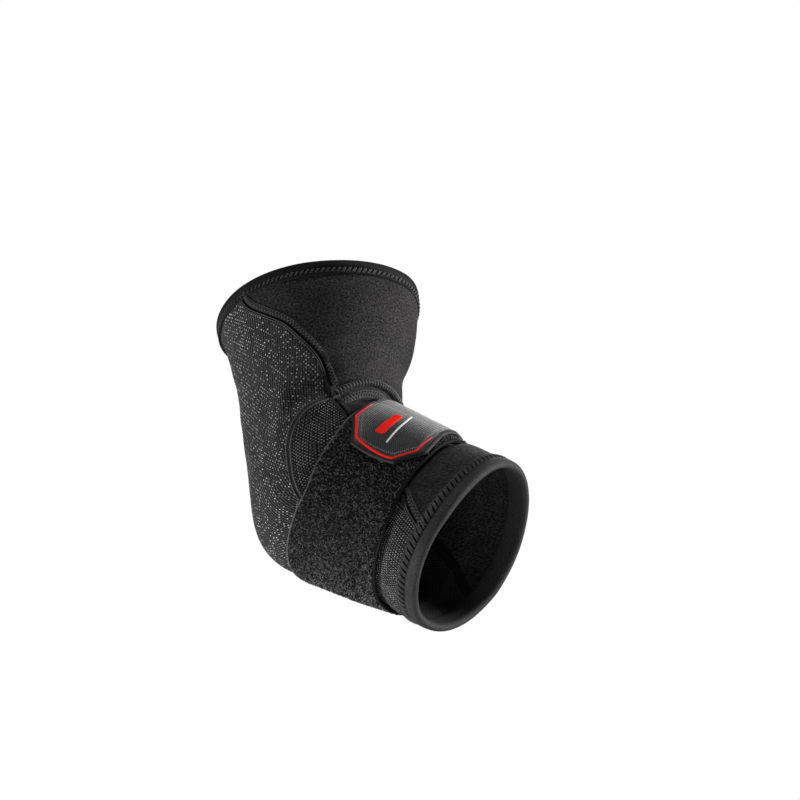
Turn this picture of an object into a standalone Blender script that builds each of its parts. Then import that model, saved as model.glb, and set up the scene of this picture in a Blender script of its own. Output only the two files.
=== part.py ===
"""Elbow brace as it is worn: a knit and smooth cloth sleeve on a bent arm, with a strap and tab below the elbow.

The arm's upper axis is +Z and the forearm's axis lies in the XZ plane, towards +X and down. The origin is where
the two axes cross, at the elbow. Every piece is a patch of one surface round a bent centreline. A place on it has
two numbers: along, in metres down the arm from the middle of the elbow, and angle, 0 in the crook, 90 on the outer
side, 180 at the point of the elbow.
"""

import bpy
import numpy as np

# Driving sizes, in metres and degrees
LENGTH = 0.215          # sleeve length along the arm's axis, on the outer side
DEPTH = 0.110           # front to back across the upper rim
BEND = 66.0             # how far the forearm is bent from straight
BEND_RADIUS = 0.656     # radius of the bent centreline, share of DEPTH
CLOTH = 0.0026          # wall of the sleeve's panels
GAP = 0.0003            # clearance between neighbouring pieces
SIDE_GAP = 0.0004       # the same beside the curved side seams
SEAM_WIDTH = 0.0060     # flat seams between panels
SEAM_RISE = 0.0008      # how far a seam's ridges stand above the panels
UPPER_HEM = 0.0092      # width of the upper hem
FOREARM_HEM = 0.0118    # width of the forearm hem
ROLL_WIDTH = 0.0056     # seam roll across the crook
ROLL_RISE = 0.0022
STRAP_THICK = 0.0022
STRAP_PINCH = 0.0020    # how far the strap presses the sleeve in
SPAN_START = 30.0       # up to this angle off the crook the strap spans the bend, in degrees
SPAN_END = 75.0         # from this one on it follows the sleeve
STRAP_SEAT = SEAM_RISE + 0.0006     # height of the strap's inner face over the pressed-in cloth
TAB_SEAT = STRAP_SEAT + STRAP_THICK + 0.0004
TAB_THICK = 0.0016
TRIM_WIDTH = 0.0019
TRIM_THICK = 0.0005

# Sections of the arm surface. along is a share of LENGTH. front, back and side are shares of DEPTH.
SECTION_COLUMNS = ("along", "front", "back", "side")
SECTIONS = (
    (-0.670, 0.495, 0.505, 0.433),
    (-0.558, 0.497, 0.524, 0.418),
    (-0.447, 0.480, 0.460, 0.405),
    (-0.335, 0.404, 0.396, 0.389),
    (-0.223, 0.398, 0.362, 0.377),
    (-0.112, 0.467, 0.345, 0.370),
    (0.000, 0.545, 0.410, 0.368),
    (0.112, 0.552, 0.338, 0.375),
    (0.223, 0.516, 0.330, 0.384),
    (0.335, 0.500, 0.363, 0.389),
    (0.447, 0.456, 0.383, 0.391),
    (0.535, 0.425, 0.393, 0.392),
)

# Rims: share of LENGTH along, for angles off the crook, alike on both sides.
RIM_COLUMNS = ("angle", "upper", "forearm")
RIMS = (
    (0.0, -0.607, 0.449),
    (25.0, -0.597, 0.446),
    (45.0, -0.588, 0.440),
    (65.0, -0.580, 0.431),
    (88.0, -0.575, 0.414),
    (106.0, -0.571, 0.398),
    (128.0, -0.563, 0.381),
    (150.0, -0.552, 0.367),
    (180.0, -0.545, 0.355),
)

# Side seam: the angle it runs at, for shares of LENGTH along.
SIDE_SEAM_COLUMNS = ("along", "angle")
SIDE_SEAM = (
    (-0.600, 125.0),
    (-0.484, 114.5),
    (-0.447, 103.5),
    (-0.414, 92.5),
    (-0.367, 81.5),
    (-0.326, 71.5),
    (-0.281, 64.5),
    (-0.245, 61.0),
    (-0.207, 58.5),
    (-0.107, 55.5),
    (0.020, 58.0),
    (0.160, 68.0),
    (0.288, 84.0),
    (0.342, 98.0),
    (0.420, 116.0),
)

# Cross seams: share of LENGTH along, for angles. The crook seam crosses the front, the elbow seam goes round the back.
CROSS_SEAM_COLUMNS = ("angle", "along")
CROOK_SEAM = (
    (0.0, -0.268),
    (21.0, -0.262),
    (34.0, -0.252),
    (42.0, -0.240),
    (50.5, -0.222),
    (57.5, -0.206),
    (66.0, -0.190),
)
ELBOW_SEAM = (
    (50.0, -0.212),
    (63.0, -0.196),
    (74.0, -0.170),
    (82.0, -0.146),
    (89.5, -0.112),
    (95.0, -0.080),
    (102.5, -0.014),
    (110.0, 0.040),
    (120.0, 0.088),
    (138.0, 0.128),
    (160.0, 0.148),
    (180.0, 0.153),
)

# Strap edges: share of LENGTH along, for angles off the crook, alike on both sides.
STRAP_COLUMNS = ("angle", "upper", "lower")
STRAP = (
    (0.0, -0.228, 0.295),
    (15.0, -0.223, 0.293),
    (30.0, -0.190, 0.290),
    (45.0, -0.134, 0.290),
    (56.0, -0.091, 0.290),
    (71.0, -0.029, 0.283),
    (81.0, 0.004, 0.279),
    (90.0, 0.029, 0.279),
    (100.0, 0.048, 0.277),
    (120.0, 0.058, 0.268),
    (150.0, 0.061, 0.250),
    (165.0, 0.060, 0.242),
    (180.0, 0.060, 0.238),
)
STRAP_SPLIT = 3.0       # half the opening between the strap's ends, in degrees, under the tab

# Tab edges: shares of the strap's width, for angles. It starts on the inner side and ends in two chamfers.
TAB_COLUMNS = ("angle", "upper", "lower")
TAB = (
    (-42.0, 0.01, 0.88),
    (-20.0, 0.00, 0.87),
    (0.0, 0.00, 0.87),
    (26.0, 0.00, 0.91),
    (37.0, 0.02, 0.95),
    (48.0, 0.03, 0.98),
    (57.0, 0.04, 0.985),
    (63.5, 0.15, 0.90),
    (69.5, 0.26, 0.82),
)

# Folds of the sleeve: a valley or ridge that follows a line from one angle to another, alike on both sides.
FOLD_COLUMNS = ("angle_from", "along_from", "angle_to", "along_to", "half_width", "rise")
FOLDS = (
    (0.0, -0.246, 62.0, -0.186, 0.017, -0.024),
    (0.0, -0.320, 58.0, -0.262, 0.050, 0.020),
    (60.0, -0.236, 92.0, -0.172, 0.024, -0.022),
    (66.0, -0.290, 104.0, -0.205, 0.034, 0.012),
    (72.0, -0.190, 108.0, -0.112, 0.030, 0.010),
    (96.0, -0.170, 150.0, -0.210, 0.028, -0.008),
)


# Profile of a hem: across is a share of its width from the panel to the lip, height a share of CLOTH.
HEM_COLUMNS = ("across", "height")
HEM_PROFILE = (
    (0.00, 0.10),
    (0.45, 0.34),
    (0.88, 0.22),
    (1.00, -0.50),
    (0.88, -1.22),
    (0.45, -1.34),
    (0.00, -1.10),
)

# Red line of the tab: its corners, as angles and shares of the strap's width.
TRIM_COLUMNS = ("angle", "share")
TRIM = (
    (39.0, 0.075),
    (56.0, 0.085),
    (65.8, 0.28),
    (67.6, 0.79),
    (58.5, 0.915),
    (43.0, 0.915),
)


def smooth_read(at, places, values, level_ends):
    """Values between table rows, by a cubic through them with the slope of each row's two neighbours.

    Level ends have no slope, so that a line that is alike on both sides crosses the middle smoothly.
    """
    places = np.asarray(places, float)
    values = np.asarray(values, float)
    slopes = np.gradient(values, places)
    if level_ends:
        slopes[[0, -1]] = 0.0
    at = np.clip(at, places[0], places[-1])
    row = np.clip(np.searchsorted(places, at) - 1, 0, len(places) - 2)
    step = places[row + 1] - places[row]
    t = (at - places[row]) / step
    start = values[row] * (1 + 2 * t) * (1 - t) ** 2 + slopes[row] * step * t * (1 - t) ** 2
    end = values[row + 1] * t * t * (3 - 2 * t) + slopes[row + 1] * step * t * t * (t - 1)
    return start + end


def column(rows, columns, name):
    """One named column of a table as an array."""
    return np.array([row[columns.index(name)] for row in rows])


def read(at, rows, columns, by, name):
    """The named column of a table, read smoothly at places of the column by."""
    return smooth_read(at, column(rows, columns, by), column(rows, columns, name), by == "angle")


def ease(t):
    """0 below 0, 1 above 1, and a smooth step between."""
    t = np.clip(t, 0, 1)
    return t * t * (3 - 2 * t)


def base_point(along, angle):
    """Point of the plain arm surface: the centreline's point plus a section of two half ellipses."""
    bend = np.radians(BEND)
    radius = BEND_RADIUS * DEPTH
    half_arc = radius * bend / 2
    turn = np.clip((along + half_arc) / radius, 0, bend)
    past = np.minimum(along + half_arc, 0) + np.maximum(along - half_arc, 0)
    front_x = np.cos(turn)
    front_z = np.sin(turn)
    centre_x = radius * (1 - front_x) + past * front_z
    centre_z = radius * (np.tan(bend / 2) - front_z) - past * front_x
    share = along / LENGTH
    front = read(share, SECTIONS, SECTION_COLUMNS, "along", "front") * DEPTH
    back = read(share, SECTIONS, SECTION_COLUMNS, "along", "back") * DEPTH
    side = read(share, SECTIONS, SECTION_COLUMNS, "along", "side") * DEPTH
    round_way = np.radians(angle)
    reach = np.where(np.cos(round_way) > 0, front, back) * np.cos(round_way)
    x = centre_x + front_x * reach
    z = centre_z + front_z * reach
    return np.stack([x, -side * np.sin(round_way), z], axis=-1)


def slopes_at(along, angle):
    """Change of the surface point per metre along and per degree of angle, and the outward normal."""
    small_along = LENGTH * 1e-3
    small_angle = 0.1
    down = base_point(along + small_along, angle) - base_point(along - small_along, angle)
    down = down / (2 * small_along)
    across = base_point(along, angle + small_angle) - base_point(along, angle - small_angle)
    across = across / (2 * small_angle)
    normal = np.cross(across, down)
    normal = normal / np.linalg.norm(normal, axis=-1, keepdims=True)
    return down, across, normal


def off_crook(angle):
    """Angle off the crook, from 0 to 180 on either side."""
    return np.abs((angle + 180.0) % 360.0 - 180.0)


def strap_edge(angle, name):
    """Where the strap's upper or lower edge runs, in metres along."""
    return read(off_crook(angle), STRAP, STRAP_COLUMNS, "angle", name) * LENGTH


def fold_rise(along, angle):
    """Rise of the sleeve's cloth off the plain surface: the folds, and the band that the strap presses in."""
    away = off_crook(angle)
    rise = np.zeros(np.broadcast(along, angle).shape)
    for angle_from, along_from, angle_to, along_to, half_width, height in FOLDS:
        t = (away - angle_from) / (angle_to - angle_from)
        line = (along_from + (along_to - along_from) * t) * LENGTH
        across = (along - line) / (half_width * LENGTH)
        ends = ease(t * 4 + (angle_from == 0.0) * 4 + 0.5) * ease((1 - t) * 3 + 0.5)
        rise = rise + height * DEPTH * np.exp(-across * across) * ends
    upper = strap_edge(angle, "upper")
    lower = strap_edge(angle, "lower")
    soft = 0.030 * LENGTH
    inside = ease((along - upper) / soft + 1.0) * ease((lower - along) / soft + 1.0)
    return rise * (1 - inside) - STRAP_PINCH * inside


def sleeve_point(along, angle, height):
    """Point at a height over the cloth's outer face, folds included."""
    normal = slopes_at(along, angle)[2]
    return base_point(along, angle) + normal * (height + fold_rise(along, angle))[..., None]


def strap_point(share, angle, height):
    """Point over the strap's bed, at a share of the way from its upper edge to its lower edge.

    Round the back the bed follows the pressed-in cloth. In front it runs straight from edge to edge and spans the
    crook, with heights measured square to the forearm.
    """
    upper = strap_edge(angle, "upper")
    lower = strap_edge(angle, "lower")
    along = upper + (lower - upper) * share
    span = ease((SPAN_END - off_crook(angle)) / (SPAN_END - SPAN_START))[..., None]
    normal = slopes_at(along, angle)[2] * (1 - span) + slopes_at(lower, angle)[2] * span
    normal = normal / np.linalg.norm(normal, axis=-1, keepdims=True)
    straight = base_point(upper, angle) * (1 - share)[..., None] + base_point(lower, angle) * share[..., None]
    bed = base_point(along, angle) * (1 - span) + straight * span
    return bed + normal * (height - STRAP_PINCH)[..., None]


def shifted(line, distance):
    """The line (along, angle) moved sideways on the surface by a real distance.

    A line that runs down the arm moves towards the crook, and one that runs across moves down the arm.
    """
    along, angle = line
    down, across, normal = slopes_at(along, angle)
    way = down * np.gradient(along)[:, None] + across * np.gradient(angle)[:, None]
    way = way / np.linalg.norm(way, axis=-1, keepdims=True)
    aside = np.cross(normal, way) * distance
    a = np.sum(down * down, axis=-1)
    b = np.sum(down * across, axis=-1)
    c = np.sum(across * across, axis=-1)
    p = np.sum(down * aside, axis=-1)
    q = np.sum(across * aside, axis=-1)
    bottom = a * c - b * b
    return along + (c * p - b * q) / bottom, angle + (a * q - b * p) / bottom


def crossing(first, second):
    """Places, as fractions of their points, where two lines of the along and angle plane cross."""
    a = np.stack(first, axis=-1) * (1 / LENGTH, 1 / 180.0)
    b = np.stack(second, axis=-1) * (1 / LENGTH, 1 / 180.0)
    da = (a[1:] - a[:-1])[:, None]
    db = (b[1:] - b[:-1])[None]
    gap = b[:-1][None] - a[:-1][:, None]
    bottom = da[..., 0] * db[..., 1] - da[..., 1] * db[..., 0]
    bottom = np.where(np.abs(bottom) < 1e-15, 1e-15, bottom)
    s = (gap[..., 0] * db[..., 1] - gap[..., 1] * db[..., 0]) / bottom
    t = (gap[..., 0] * da[..., 1] - gap[..., 1] * da[..., 0]) / bottom
    miss = np.maximum(np.abs(s - 0.5), np.abs(t - 0.5))
    i, j = np.unravel_index(np.argmin(miss), miss.shape)
    return i + s[i, j], j + t[i, j]


def stretch(line, start, end, count, crowd=1.0):
    """The line between two places, cut into count steps that draw together towards its end above a crowd of 1."""
    places = start + (end - start) * (1 - (1 - np.linspace(0, 1, count + 1)) ** crowd)
    index = np.arange(len(line[0]))
    return np.interp(places, index, line[0]), np.interp(places, index, line[1])


def mirrored(line):
    """The same line on the arm's inner side."""
    return line[0], -line[1]


def patch(top, bottom, left, right):
    """Grid between four edges: top and bottom run across, left and right run down, and the corners agree."""
    u = ((left[0] - left[0][0]) / (left[0][-1] - left[0][0]))[:, None]
    v = np.linspace(0, 1, len(top[0]))[None]
    grids = []
    for k in (0, 1):
        t, b, l, r = top[k][None], bottom[k][None], left[k][:, None], right[k][:, None]
        corners = (1 - u) * ((1 - v) * t[:, :1] + v * t[:, -1:]) + u * ((1 - v) * b[:, :1] + v * b[:, -1:])
        grids.append((1 - u) * t + u * b + (1 - v) * l + v * r - corners)
    return grids


def add_object(name, points, faces, material):
    """Mesh object of its own from points and quads or triangles, turned so its faces look outward."""
    faces = [face[::-1] for face in faces] if volume(points, faces) < 0 else faces
    mesh = bpy.data.meshes.new(name)
    mesh.from_pydata(points.tolist(), [], faces)
    mesh.polygons.foreach_set("use_smooth", np.ones(len(faces), bool))
    mesh.materials.append(material)
    mesh.update()
    piece = bpy.data.objects.new(name, mesh)
    bpy.context.scene.collection.objects.link(piece)
    return piece


def volume(points, faces):
    """Signed volume of a closed mesh of quads."""
    quads = np.array(faces)
    total = 0.0
    for a, b, c in ((0, 1, 2), (0, 2, 3)):
        p, q, r = points[quads[:, a]], points[quads[:, b]], points[quads[:, c]]
        total += np.sum(np.cross(p, q) * r)
    return total / 6


def sheet_solid(name, outer, inner, material):
    """Closed solid between an outer and an inner grid of points, with walls at the four edges."""
    rows, cols = outer.shape[:2]
    index = np.arange(rows * cols).reshape(rows, cols)
    under = index + rows * cols
    quads = [index[:-1, :-1], index[:-1, 1:], index[1:, 1:], index[1:, :-1]]
    top = np.stack(quads, axis=-1).reshape(-1, 4)
    low = (np.stack(quads, axis=-1) + rows * cols).reshape(-1, 4)[:, ::-1]
    ring = np.concatenate([index[0, :-1], index[:-1, -1], index[-1, :0:-1], index[:0:-1, 0]])
    ring_under = np.concatenate([under[0, :-1], under[:-1, -1], under[-1, :0:-1], under[:0:-1, 0]])
    walls = np.stack([np.roll(ring, -1), ring, ring_under, np.roll(ring_under, -1)], axis=-1)
    points = np.concatenate([outer.reshape(-1, 3), inner.reshape(-1, 3)])
    faces = np.concatenate([top, low, walls]).tolist()
    return add_object(name, points, faces, material)


def ring_solid(name, loops, material):
    """Closed ring from a grid of points whose rows go round the arm and whose columns go round its profile."""
    rows, cols = loops.shape[:2]
    index = np.arange(rows * cols).reshape(rows, cols)
    right = np.roll(index, -1, axis=1)
    quads = np.stack([index, right, np.roll(right, -1, axis=0), np.roll(index, -1, axis=0)], axis=-1)
    return add_object(name, loops.reshape(-1, 3), quads.reshape(-1, 4).tolist(), material)


def cloth(name, color, roughness):
    """Plain matte material of the piece's colour."""
    material = bpy.data.materials.new(name)
    material.use_nodes = True
    shader = material.node_tree.nodes["Principled BSDF"]
    shader.inputs["Base Color"].default_value = (*color, 1.0)
    shader.inputs["Roughness"].default_value = roughness
    return material


def rim_line(rim, inset, first):
    """A rim's line, or one moved down the arm from it, once round from the first angle."""
    angle = np.linspace(first, first + 360.0, 721)
    return read(off_crook(angle), RIMS, RIM_COLUMNS, "angle", rim) * LENGTH + inset, angle


def side_line():
    """Middle of the outer side seam, from above the upper rim to below the forearm rim."""
    along = np.linspace(SIDE_SEAM[0][0], SIDE_SEAM[-1][0], 600)
    return along * LENGTH, read(along, SIDE_SEAM, SIDE_SEAM_COLUMNS, "along", "angle")


def crook_line():
    """Middle of the crook seam, across the front from the inner side to the outer side."""
    angle = np.linspace(-CROOK_SEAM[-1][0], CROOK_SEAM[-1][0], 400)
    along = read(np.abs(angle), CROOK_SEAM, CROSS_SEAM_COLUMNS, "angle", "along")
    return along * LENGTH, angle


def elbow_line():
    """Middle of the elbow seam, round the back from the outer side to the inner side."""
    angle = np.linspace(ELBOW_SEAM[0][0], 360.0 - ELBOW_SEAM[0][0], 800)
    along = read(off_crook(angle), ELBOW_SEAM, CROSS_SEAM_COLUMNS, "angle", "along")
    return along * LENGTH, angle


def round_back(line):
    """The inner side's copy of a line, with angles counted on round the back."""
    return line[0], 360.0 - line[1]


def cell(top, bottom, left, right, rows, cols, crowd=1.0):
    """Grid of the cell that four longer lines enclose, cut where they cross.

    Rows keep even steps at a crowd of 1, and draw together towards the bottom above 1.
    """
    top_left = crossing(top, left)
    top_right = crossing(top, right)
    low_left = crossing(bottom, left)
    low_right = crossing(bottom, right)
    return patch(
        stretch(top, top_left[0], top_right[0], cols),
        stretch(bottom, low_left[0], low_right[0], cols),
        stretch(left, top_left[1], low_left[1], rows, crowd),
        stretch(right, top_right[1], low_right[1], rows, crowd),
    )


def sheet(name, grid, outer, inner, material, place):
    """Patch solid at the given heights over the surface."""
    along, angle = grid
    high = np.broadcast_to(outer, along.shape)
    low = np.broadcast_to(inner, along.shape)
    return sheet_solid(name, place(along, angle, high), place(along, angle, low), material)


def hem(name, rim, width, count, material):
    """Bound edge: a ring whose profile is a flat band with a rounded lip. A width below 0 runs up the arm."""
    angle = np.linspace(-180.0, 180.0, count, endpoint=False)[:, None]
    across = column(HEM_PROFILE, HEM_COLUMNS, "across")[None]
    height = column(HEM_PROFILE, HEM_COLUMNS, "height")[None] * CLOTH
    edge = read(off_crook(angle), RIMS, RIM_COLUMNS, "angle", rim) * LENGTH
    along = edge + width * (1 - across)
    angle = np.broadcast_to(angle, along.shape)
    return ring_solid(name, sleeve_point(along, angle, np.broadcast_to(height, along.shape)), material)


def ridged(columns, rise):
    """Height of a flat seam across its width: two low ridges with a groove between, one row for all."""
    across = np.linspace(-1, 1, columns + 1)[None]
    return rise * (0.35 + 0.65 * np.abs(np.sin(np.pi * across)))


def rounded(columns, rise):
    """Height of a seam roll across its width: half an ellipse on its foot."""
    across = np.linspace(-1, 1, columns + 1)[None]
    return rise * np.sqrt(np.clip(1.04 - across * across, 0, 1))


for piece in list(bpy.data.objects):
    bpy.data.objects.remove(piece)

SMOOTH = cloth("smooth_cloth", (0.034, 0.034, 0.038), 0.78)
KNIT = cloth("knit_cloth", (0.046, 0.046, 0.049), 0.88)
BINDING = cloth("hem_cloth", (0.028, 0.028, 0.030), 0.80)
STITCH = cloth("seam_thread", (0.040, 0.040, 0.043), 0.85)
LOOP = cloth("strap_loop_cloth", (0.016, 0.016, 0.017), 0.95)
TWILL = cloth("tab_twill", (0.130, 0.130, 0.134), 0.80)
RED = cloth("tab_trim_red", (0.620, 0.028, 0.030), 0.45)

# Lines that the pieces share: each strip's own edges, and the panels' edges one gap further off
half_seam = SEAM_WIDTH / 2
half_roll = ROLL_WIDTH / 2
side = side_line()
crook = crook_line()
elbow = elbow_line()
strip_front = shifted(side, half_seam)
strip_back = shifted(side, -half_seam)
panel_front = shifted(side, half_seam + SIDE_GAP)
panel_back = shifted(side, -half_seam - SIDE_GAP)
upper_front = rim_line("upper", UPPER_HEM + GAP, -180.0)
upper_back = rim_line("upper", UPPER_HEM + GAP, 0.0)
lower_front = rim_line("forearm", -FOREARM_HEM - GAP, -180.0)
lower_back = rim_line("forearm", -FOREARM_HEM - GAP, 0.0)
crook_above = shifted(crook, -half_roll - GAP)
crook_below = shifted(crook, half_roll + GAP)
elbow_above = shifted(elbow, -half_seam - GAP)
elbow_below = shifted(elbow, half_seam + GAP)

# Smooth panels on the front of the upper arm and of the forearm
upper_front_cell = cell(upper_front, crook_above, mirrored(panel_front), panel_front, 12, 16)
sheet("smooth_upper_panel", upper_front_cell, 0.0, -CLOTH, SMOOTH, sleeve_point)
lower_front_cell = cell(crook_below, lower_front, mirrored(panel_front), panel_front, 15, 12, 1.4)
sheet("smooth_forearm_panel", lower_front_cell, 0.0, -CLOTH, SMOOTH, sleeve_point)

# Knit panels round the back: upper arm with the elbow, and forearm
upper_back_cell = cell(upper_back, elbow_above, panel_back, round_back(panel_back), 18, 26)
sheet("knit_upper_panel", upper_back_cell, 0.0, -CLOTH, KNIT, sleeve_point)
lower_back_cell = cell(elbow_below, lower_back, panel_back, round_back(panel_back), 15, 26, 1.3)
sheet("knit_forearm_panel", lower_back_cell, 0.0, -CLOTH, KNIT, sleeve_point)

# Bound edges
hem("upper_hem", "upper", UPPER_HEM, 44, BINDING)
hem("forearm_hem", "forearm", -FOREARM_HEM, 44, BINDING)

# Flat seams down both sides, from hem to hem
side_cell = cell(upper_front, lower_front, strip_front, strip_back, 36, 4)
sheet("outer_side_seam", side_cell, ridged(4, SEAM_RISE), -CLOTH, STITCH, sleeve_point)
inner_cell = cell(upper_front, lower_front, mirrored(strip_front), mirrored(strip_back), 36, 4)
sheet("inner_side_seam", inner_cell, ridged(4, SEAM_RISE), -CLOTH, STITCH, sleeve_point)

# Seam roll across the crook, and the double seam round the back of the elbow
crook_cell = cell(shifted(crook, -half_roll), shifted(crook, half_roll), mirrored(panel_front), panel_front, 4, 16)
sheet("crook_seam", crook_cell, rounded(4, ROLL_RISE).T, -CLOTH, STITCH, sleeve_point)
back_top = shifted(elbow, -half_seam)
back_low = shifted(elbow, half_seam)
elbow_cell = cell(back_top, back_low, panel_back, round_back(panel_back), 4, 26)
sheet("elbow_seam", elbow_cell, ridged(4, SEAM_RISE).T, -CLOTH, STITCH, sleeve_point)

# Strap: one band of loop cloth nearly all round, its two ends hidden under the tab
strap_angle = np.linspace(STRAP_SPLIT, 360.0 - STRAP_SPLIT, 53)[None]
strap_share = np.linspace(0, 1, 6)[:, None]
strap_grid = (np.broadcast_to(strap_share, (6, 53)), np.broadcast_to(strap_angle, (6, 53)))
sheet("strap", strap_grid, STRAP_SEAT + STRAP_THICK, STRAP_SEAT, LOOP, strap_point)

# Tab: sewn to the strap on the inner side, laid over the crook, and closed on the strap on the outer side
tab_rows = column(TAB, TAB_COLUMNS, "angle")
tab_places = np.linspace(0, len(TAB) - 1, 3 * (len(TAB) - 1) + 1)
tab_angle = np.interp(tab_places, np.arange(len(TAB)), tab_rows)[None]
tab_top = np.interp(tab_angle, tab_rows, column(TAB, TAB_COLUMNS, "upper"))
tab_low = np.interp(tab_angle, tab_rows, column(TAB, TAB_COLUMNS, "lower"))
tab_share = tab_top + (tab_low - tab_top) * np.linspace(0, 1, 6)[:, None]
tab_grid = (tab_share, np.broadcast_to(tab_angle, tab_share.shape))
sheet("strap_tab", tab_grid, TAB_SEAT + TAB_THICK, TAB_SEAT, TWILL, strap_point)

# Red line along the tab's end
trim_places = np.linspace(0, len(TRIM) - 1, 61)
trim_share = np.interp(trim_places, np.arange(len(TRIM)), column(TRIM, TRIM_COLUMNS, "share"))
trim_angle = np.interp(trim_places, np.arange(len(TRIM)), column(TRIM, TRIM_COLUMNS, "angle"))
trim_seat = TAB_SEAT + TAB_THICK + GAP
trim_low = strap_point(trim_share, trim_angle, np.full(61, trim_seat))
trim_high = strap_point(trim_share, trim_angle, np.full(61, trim_seat + TRIM_THICK))
trim_way = np.gradient(trim_low, axis=0)
trim_aside = np.cross(trim_way, trim_high - trim_low)
trim_aside = trim_aside / np.linalg.norm(trim_aside, axis=-1, keepdims=True) * TRIM_WIDTH / 2
trim_index = np.linspace(0, 60, 21).astype(int)
trim_outer = np.stack([trim_high - trim_aside, trim_high + trim_aside])[:, trim_index]
trim_inner = np.stack([trim_low - trim_aside, trim_low + trim_aside])[:, trim_index]
sheet_solid("tab_trim", trim_outer, trim_inner, RED)
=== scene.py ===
"""Elbow brace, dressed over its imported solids: knit and smooth cloth, bound hems, stitches, strap and tab.

The sleeve's upper half runs up +Z. Its forearm half lies in the XZ plane, towards +X and down. Every piece
lies on one surface round a bent centreline. A place on it has two numbers: along, in metres down the sleeve
from the middle of the elbow, and angle, 0 in the crook, 90 on the outer side, 180 at the point of the elbow.
"""

import bpy
import numpy as np
from mathutils import Matrix


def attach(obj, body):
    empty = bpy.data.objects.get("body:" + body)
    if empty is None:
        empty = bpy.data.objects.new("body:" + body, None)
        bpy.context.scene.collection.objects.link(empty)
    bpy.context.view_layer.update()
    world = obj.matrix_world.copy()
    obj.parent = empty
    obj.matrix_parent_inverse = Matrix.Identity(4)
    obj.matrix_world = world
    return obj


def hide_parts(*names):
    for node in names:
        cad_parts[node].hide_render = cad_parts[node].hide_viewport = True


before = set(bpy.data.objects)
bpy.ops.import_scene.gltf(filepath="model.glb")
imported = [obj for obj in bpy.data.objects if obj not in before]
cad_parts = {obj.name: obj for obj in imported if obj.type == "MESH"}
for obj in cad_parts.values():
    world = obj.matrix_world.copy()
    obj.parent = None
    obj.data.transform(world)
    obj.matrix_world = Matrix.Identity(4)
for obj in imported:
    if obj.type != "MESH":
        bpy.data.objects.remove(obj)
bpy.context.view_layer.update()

# Driving sizes of the brace, in metres and degrees
LENGTH = 0.215          # sleeve length along its axis, on the outer side
DEPTH = 0.110           # front to back across the upper rim
BEND = 66.0             # turn of the forearm half from the upper half's line
BEND_RADIUS = 0.656     # radius of the bent centreline, share of DEPTH
CLOTH = 0.0026          # wall of the sleeve's panels
SEAM_WIDTH = 0.0060     # flat seam down each side
SEAM_RISE = 0.0008      # height of that seam over the cloth
UPPER_HEM = 0.0092      # width of the upper binding
FOREARM_HEM = 0.0118    # width of the forearm's binding
STRAP_THICK = 0.0022
STRAP_PINCH = 0.0020    # how deep the strap presses into the cloth
SPAN_START = 30.0       # angle off the crook where the strap starts to leave its straight run over it
SPAN_END = 75.0         # angle off the crook from which the strap follows the cloth
STRAP_SPLIT = 0.4       # angle from the crook's middle to each end of the strap, under the tab
STRAP_SEAT = SEAM_RISE + 0.0006                 # height of the strap's underside over its bed
TAB_SEAT = STRAP_SEAT + STRAP_THICK + 0.0004    # height of the tab's underside over the same bed
TAB_THICK = 0.0016
TRIM_WIDTH = 0.0012     # red line of the tab

# Sections of the plain surface. along is a share of LENGTH. front, back and side are shares of DEPTH.
SECTION_COLUMNS = ("along", "front", "back", "side")
SECTIONS = (
    (-0.670, 0.495, 0.505, 0.433),
    (-0.558, 0.497, 0.524, 0.418),
    (-0.447, 0.480, 0.460, 0.405),
    (-0.335, 0.404, 0.396, 0.389),
    (-0.223, 0.398, 0.362, 0.377),
    (-0.112, 0.467, 0.345, 0.370),
    (0.000, 0.545, 0.410, 0.368),
    (0.112, 0.552, 0.338, 0.375),
    (0.223, 0.516, 0.330, 0.384),
    (0.335, 0.500, 0.363, 0.389),
    (0.447, 0.456, 0.383, 0.391),
    (0.535, 0.425, 0.393, 0.392),
)

# Rims: share of LENGTH along, for angles off the crook, alike on both sides
RIM_COLUMNS = ("angle", "upper", "forearm")
RIMS = (
    (0.0, -0.607, 0.449),
    (25.0, -0.597, 0.446),
    (45.0, -0.588, 0.440),
    (65.0, -0.580, 0.431),
    (88.0, -0.575, 0.414),
    (106.0, -0.571, 0.398),
    (128.0, -0.563, 0.381),
    (150.0, -0.552, 0.367),
    (180.0, -0.545, 0.355),
)

# Side seam: the angle it runs at, for shares of LENGTH along
SIDE_SEAM_COLUMNS = ("along", "angle")
SIDE_SEAM = (
    (-0.600, 125.0),
    (-0.484, 114.5),
    (-0.447, 103.5),
    (-0.414, 92.5),
    (-0.367, 81.5),
    (-0.326, 71.5),
    (-0.281, 64.5),
    (-0.245, 61.0),
    (-0.207, 58.5),
    (-0.107, 55.5),
    (0.020, 58.0),
    (0.160, 68.0),
    (0.288, 84.0),
    (0.342, 98.0),
    (0.420, 116.0),
)

# Cross seams: share of LENGTH along, for angles
CROSS_SEAM_COLUMNS = ("angle", "along")
CROOK_SEAM = (
    (0.0, -0.268),
    (21.0, -0.262),
    (34.0, -0.252),
    (42.0, -0.240),
    (50.5, -0.222),
    (57.5, -0.206),
    (66.0, -0.190),
)
ELBOW_SEAM = (
    (50.0, -0.212),
    (63.0, -0.196),
    (74.0, -0.170),
    (82.0, -0.146),
    (89.5, -0.112),
    (95.0, -0.080),
    (102.5, -0.014),
    (110.0, 0.040),
    (120.0, 0.088),
    (138.0, 0.128),
    (160.0, 0.148),
    (180.0, 0.153),
)

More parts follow.
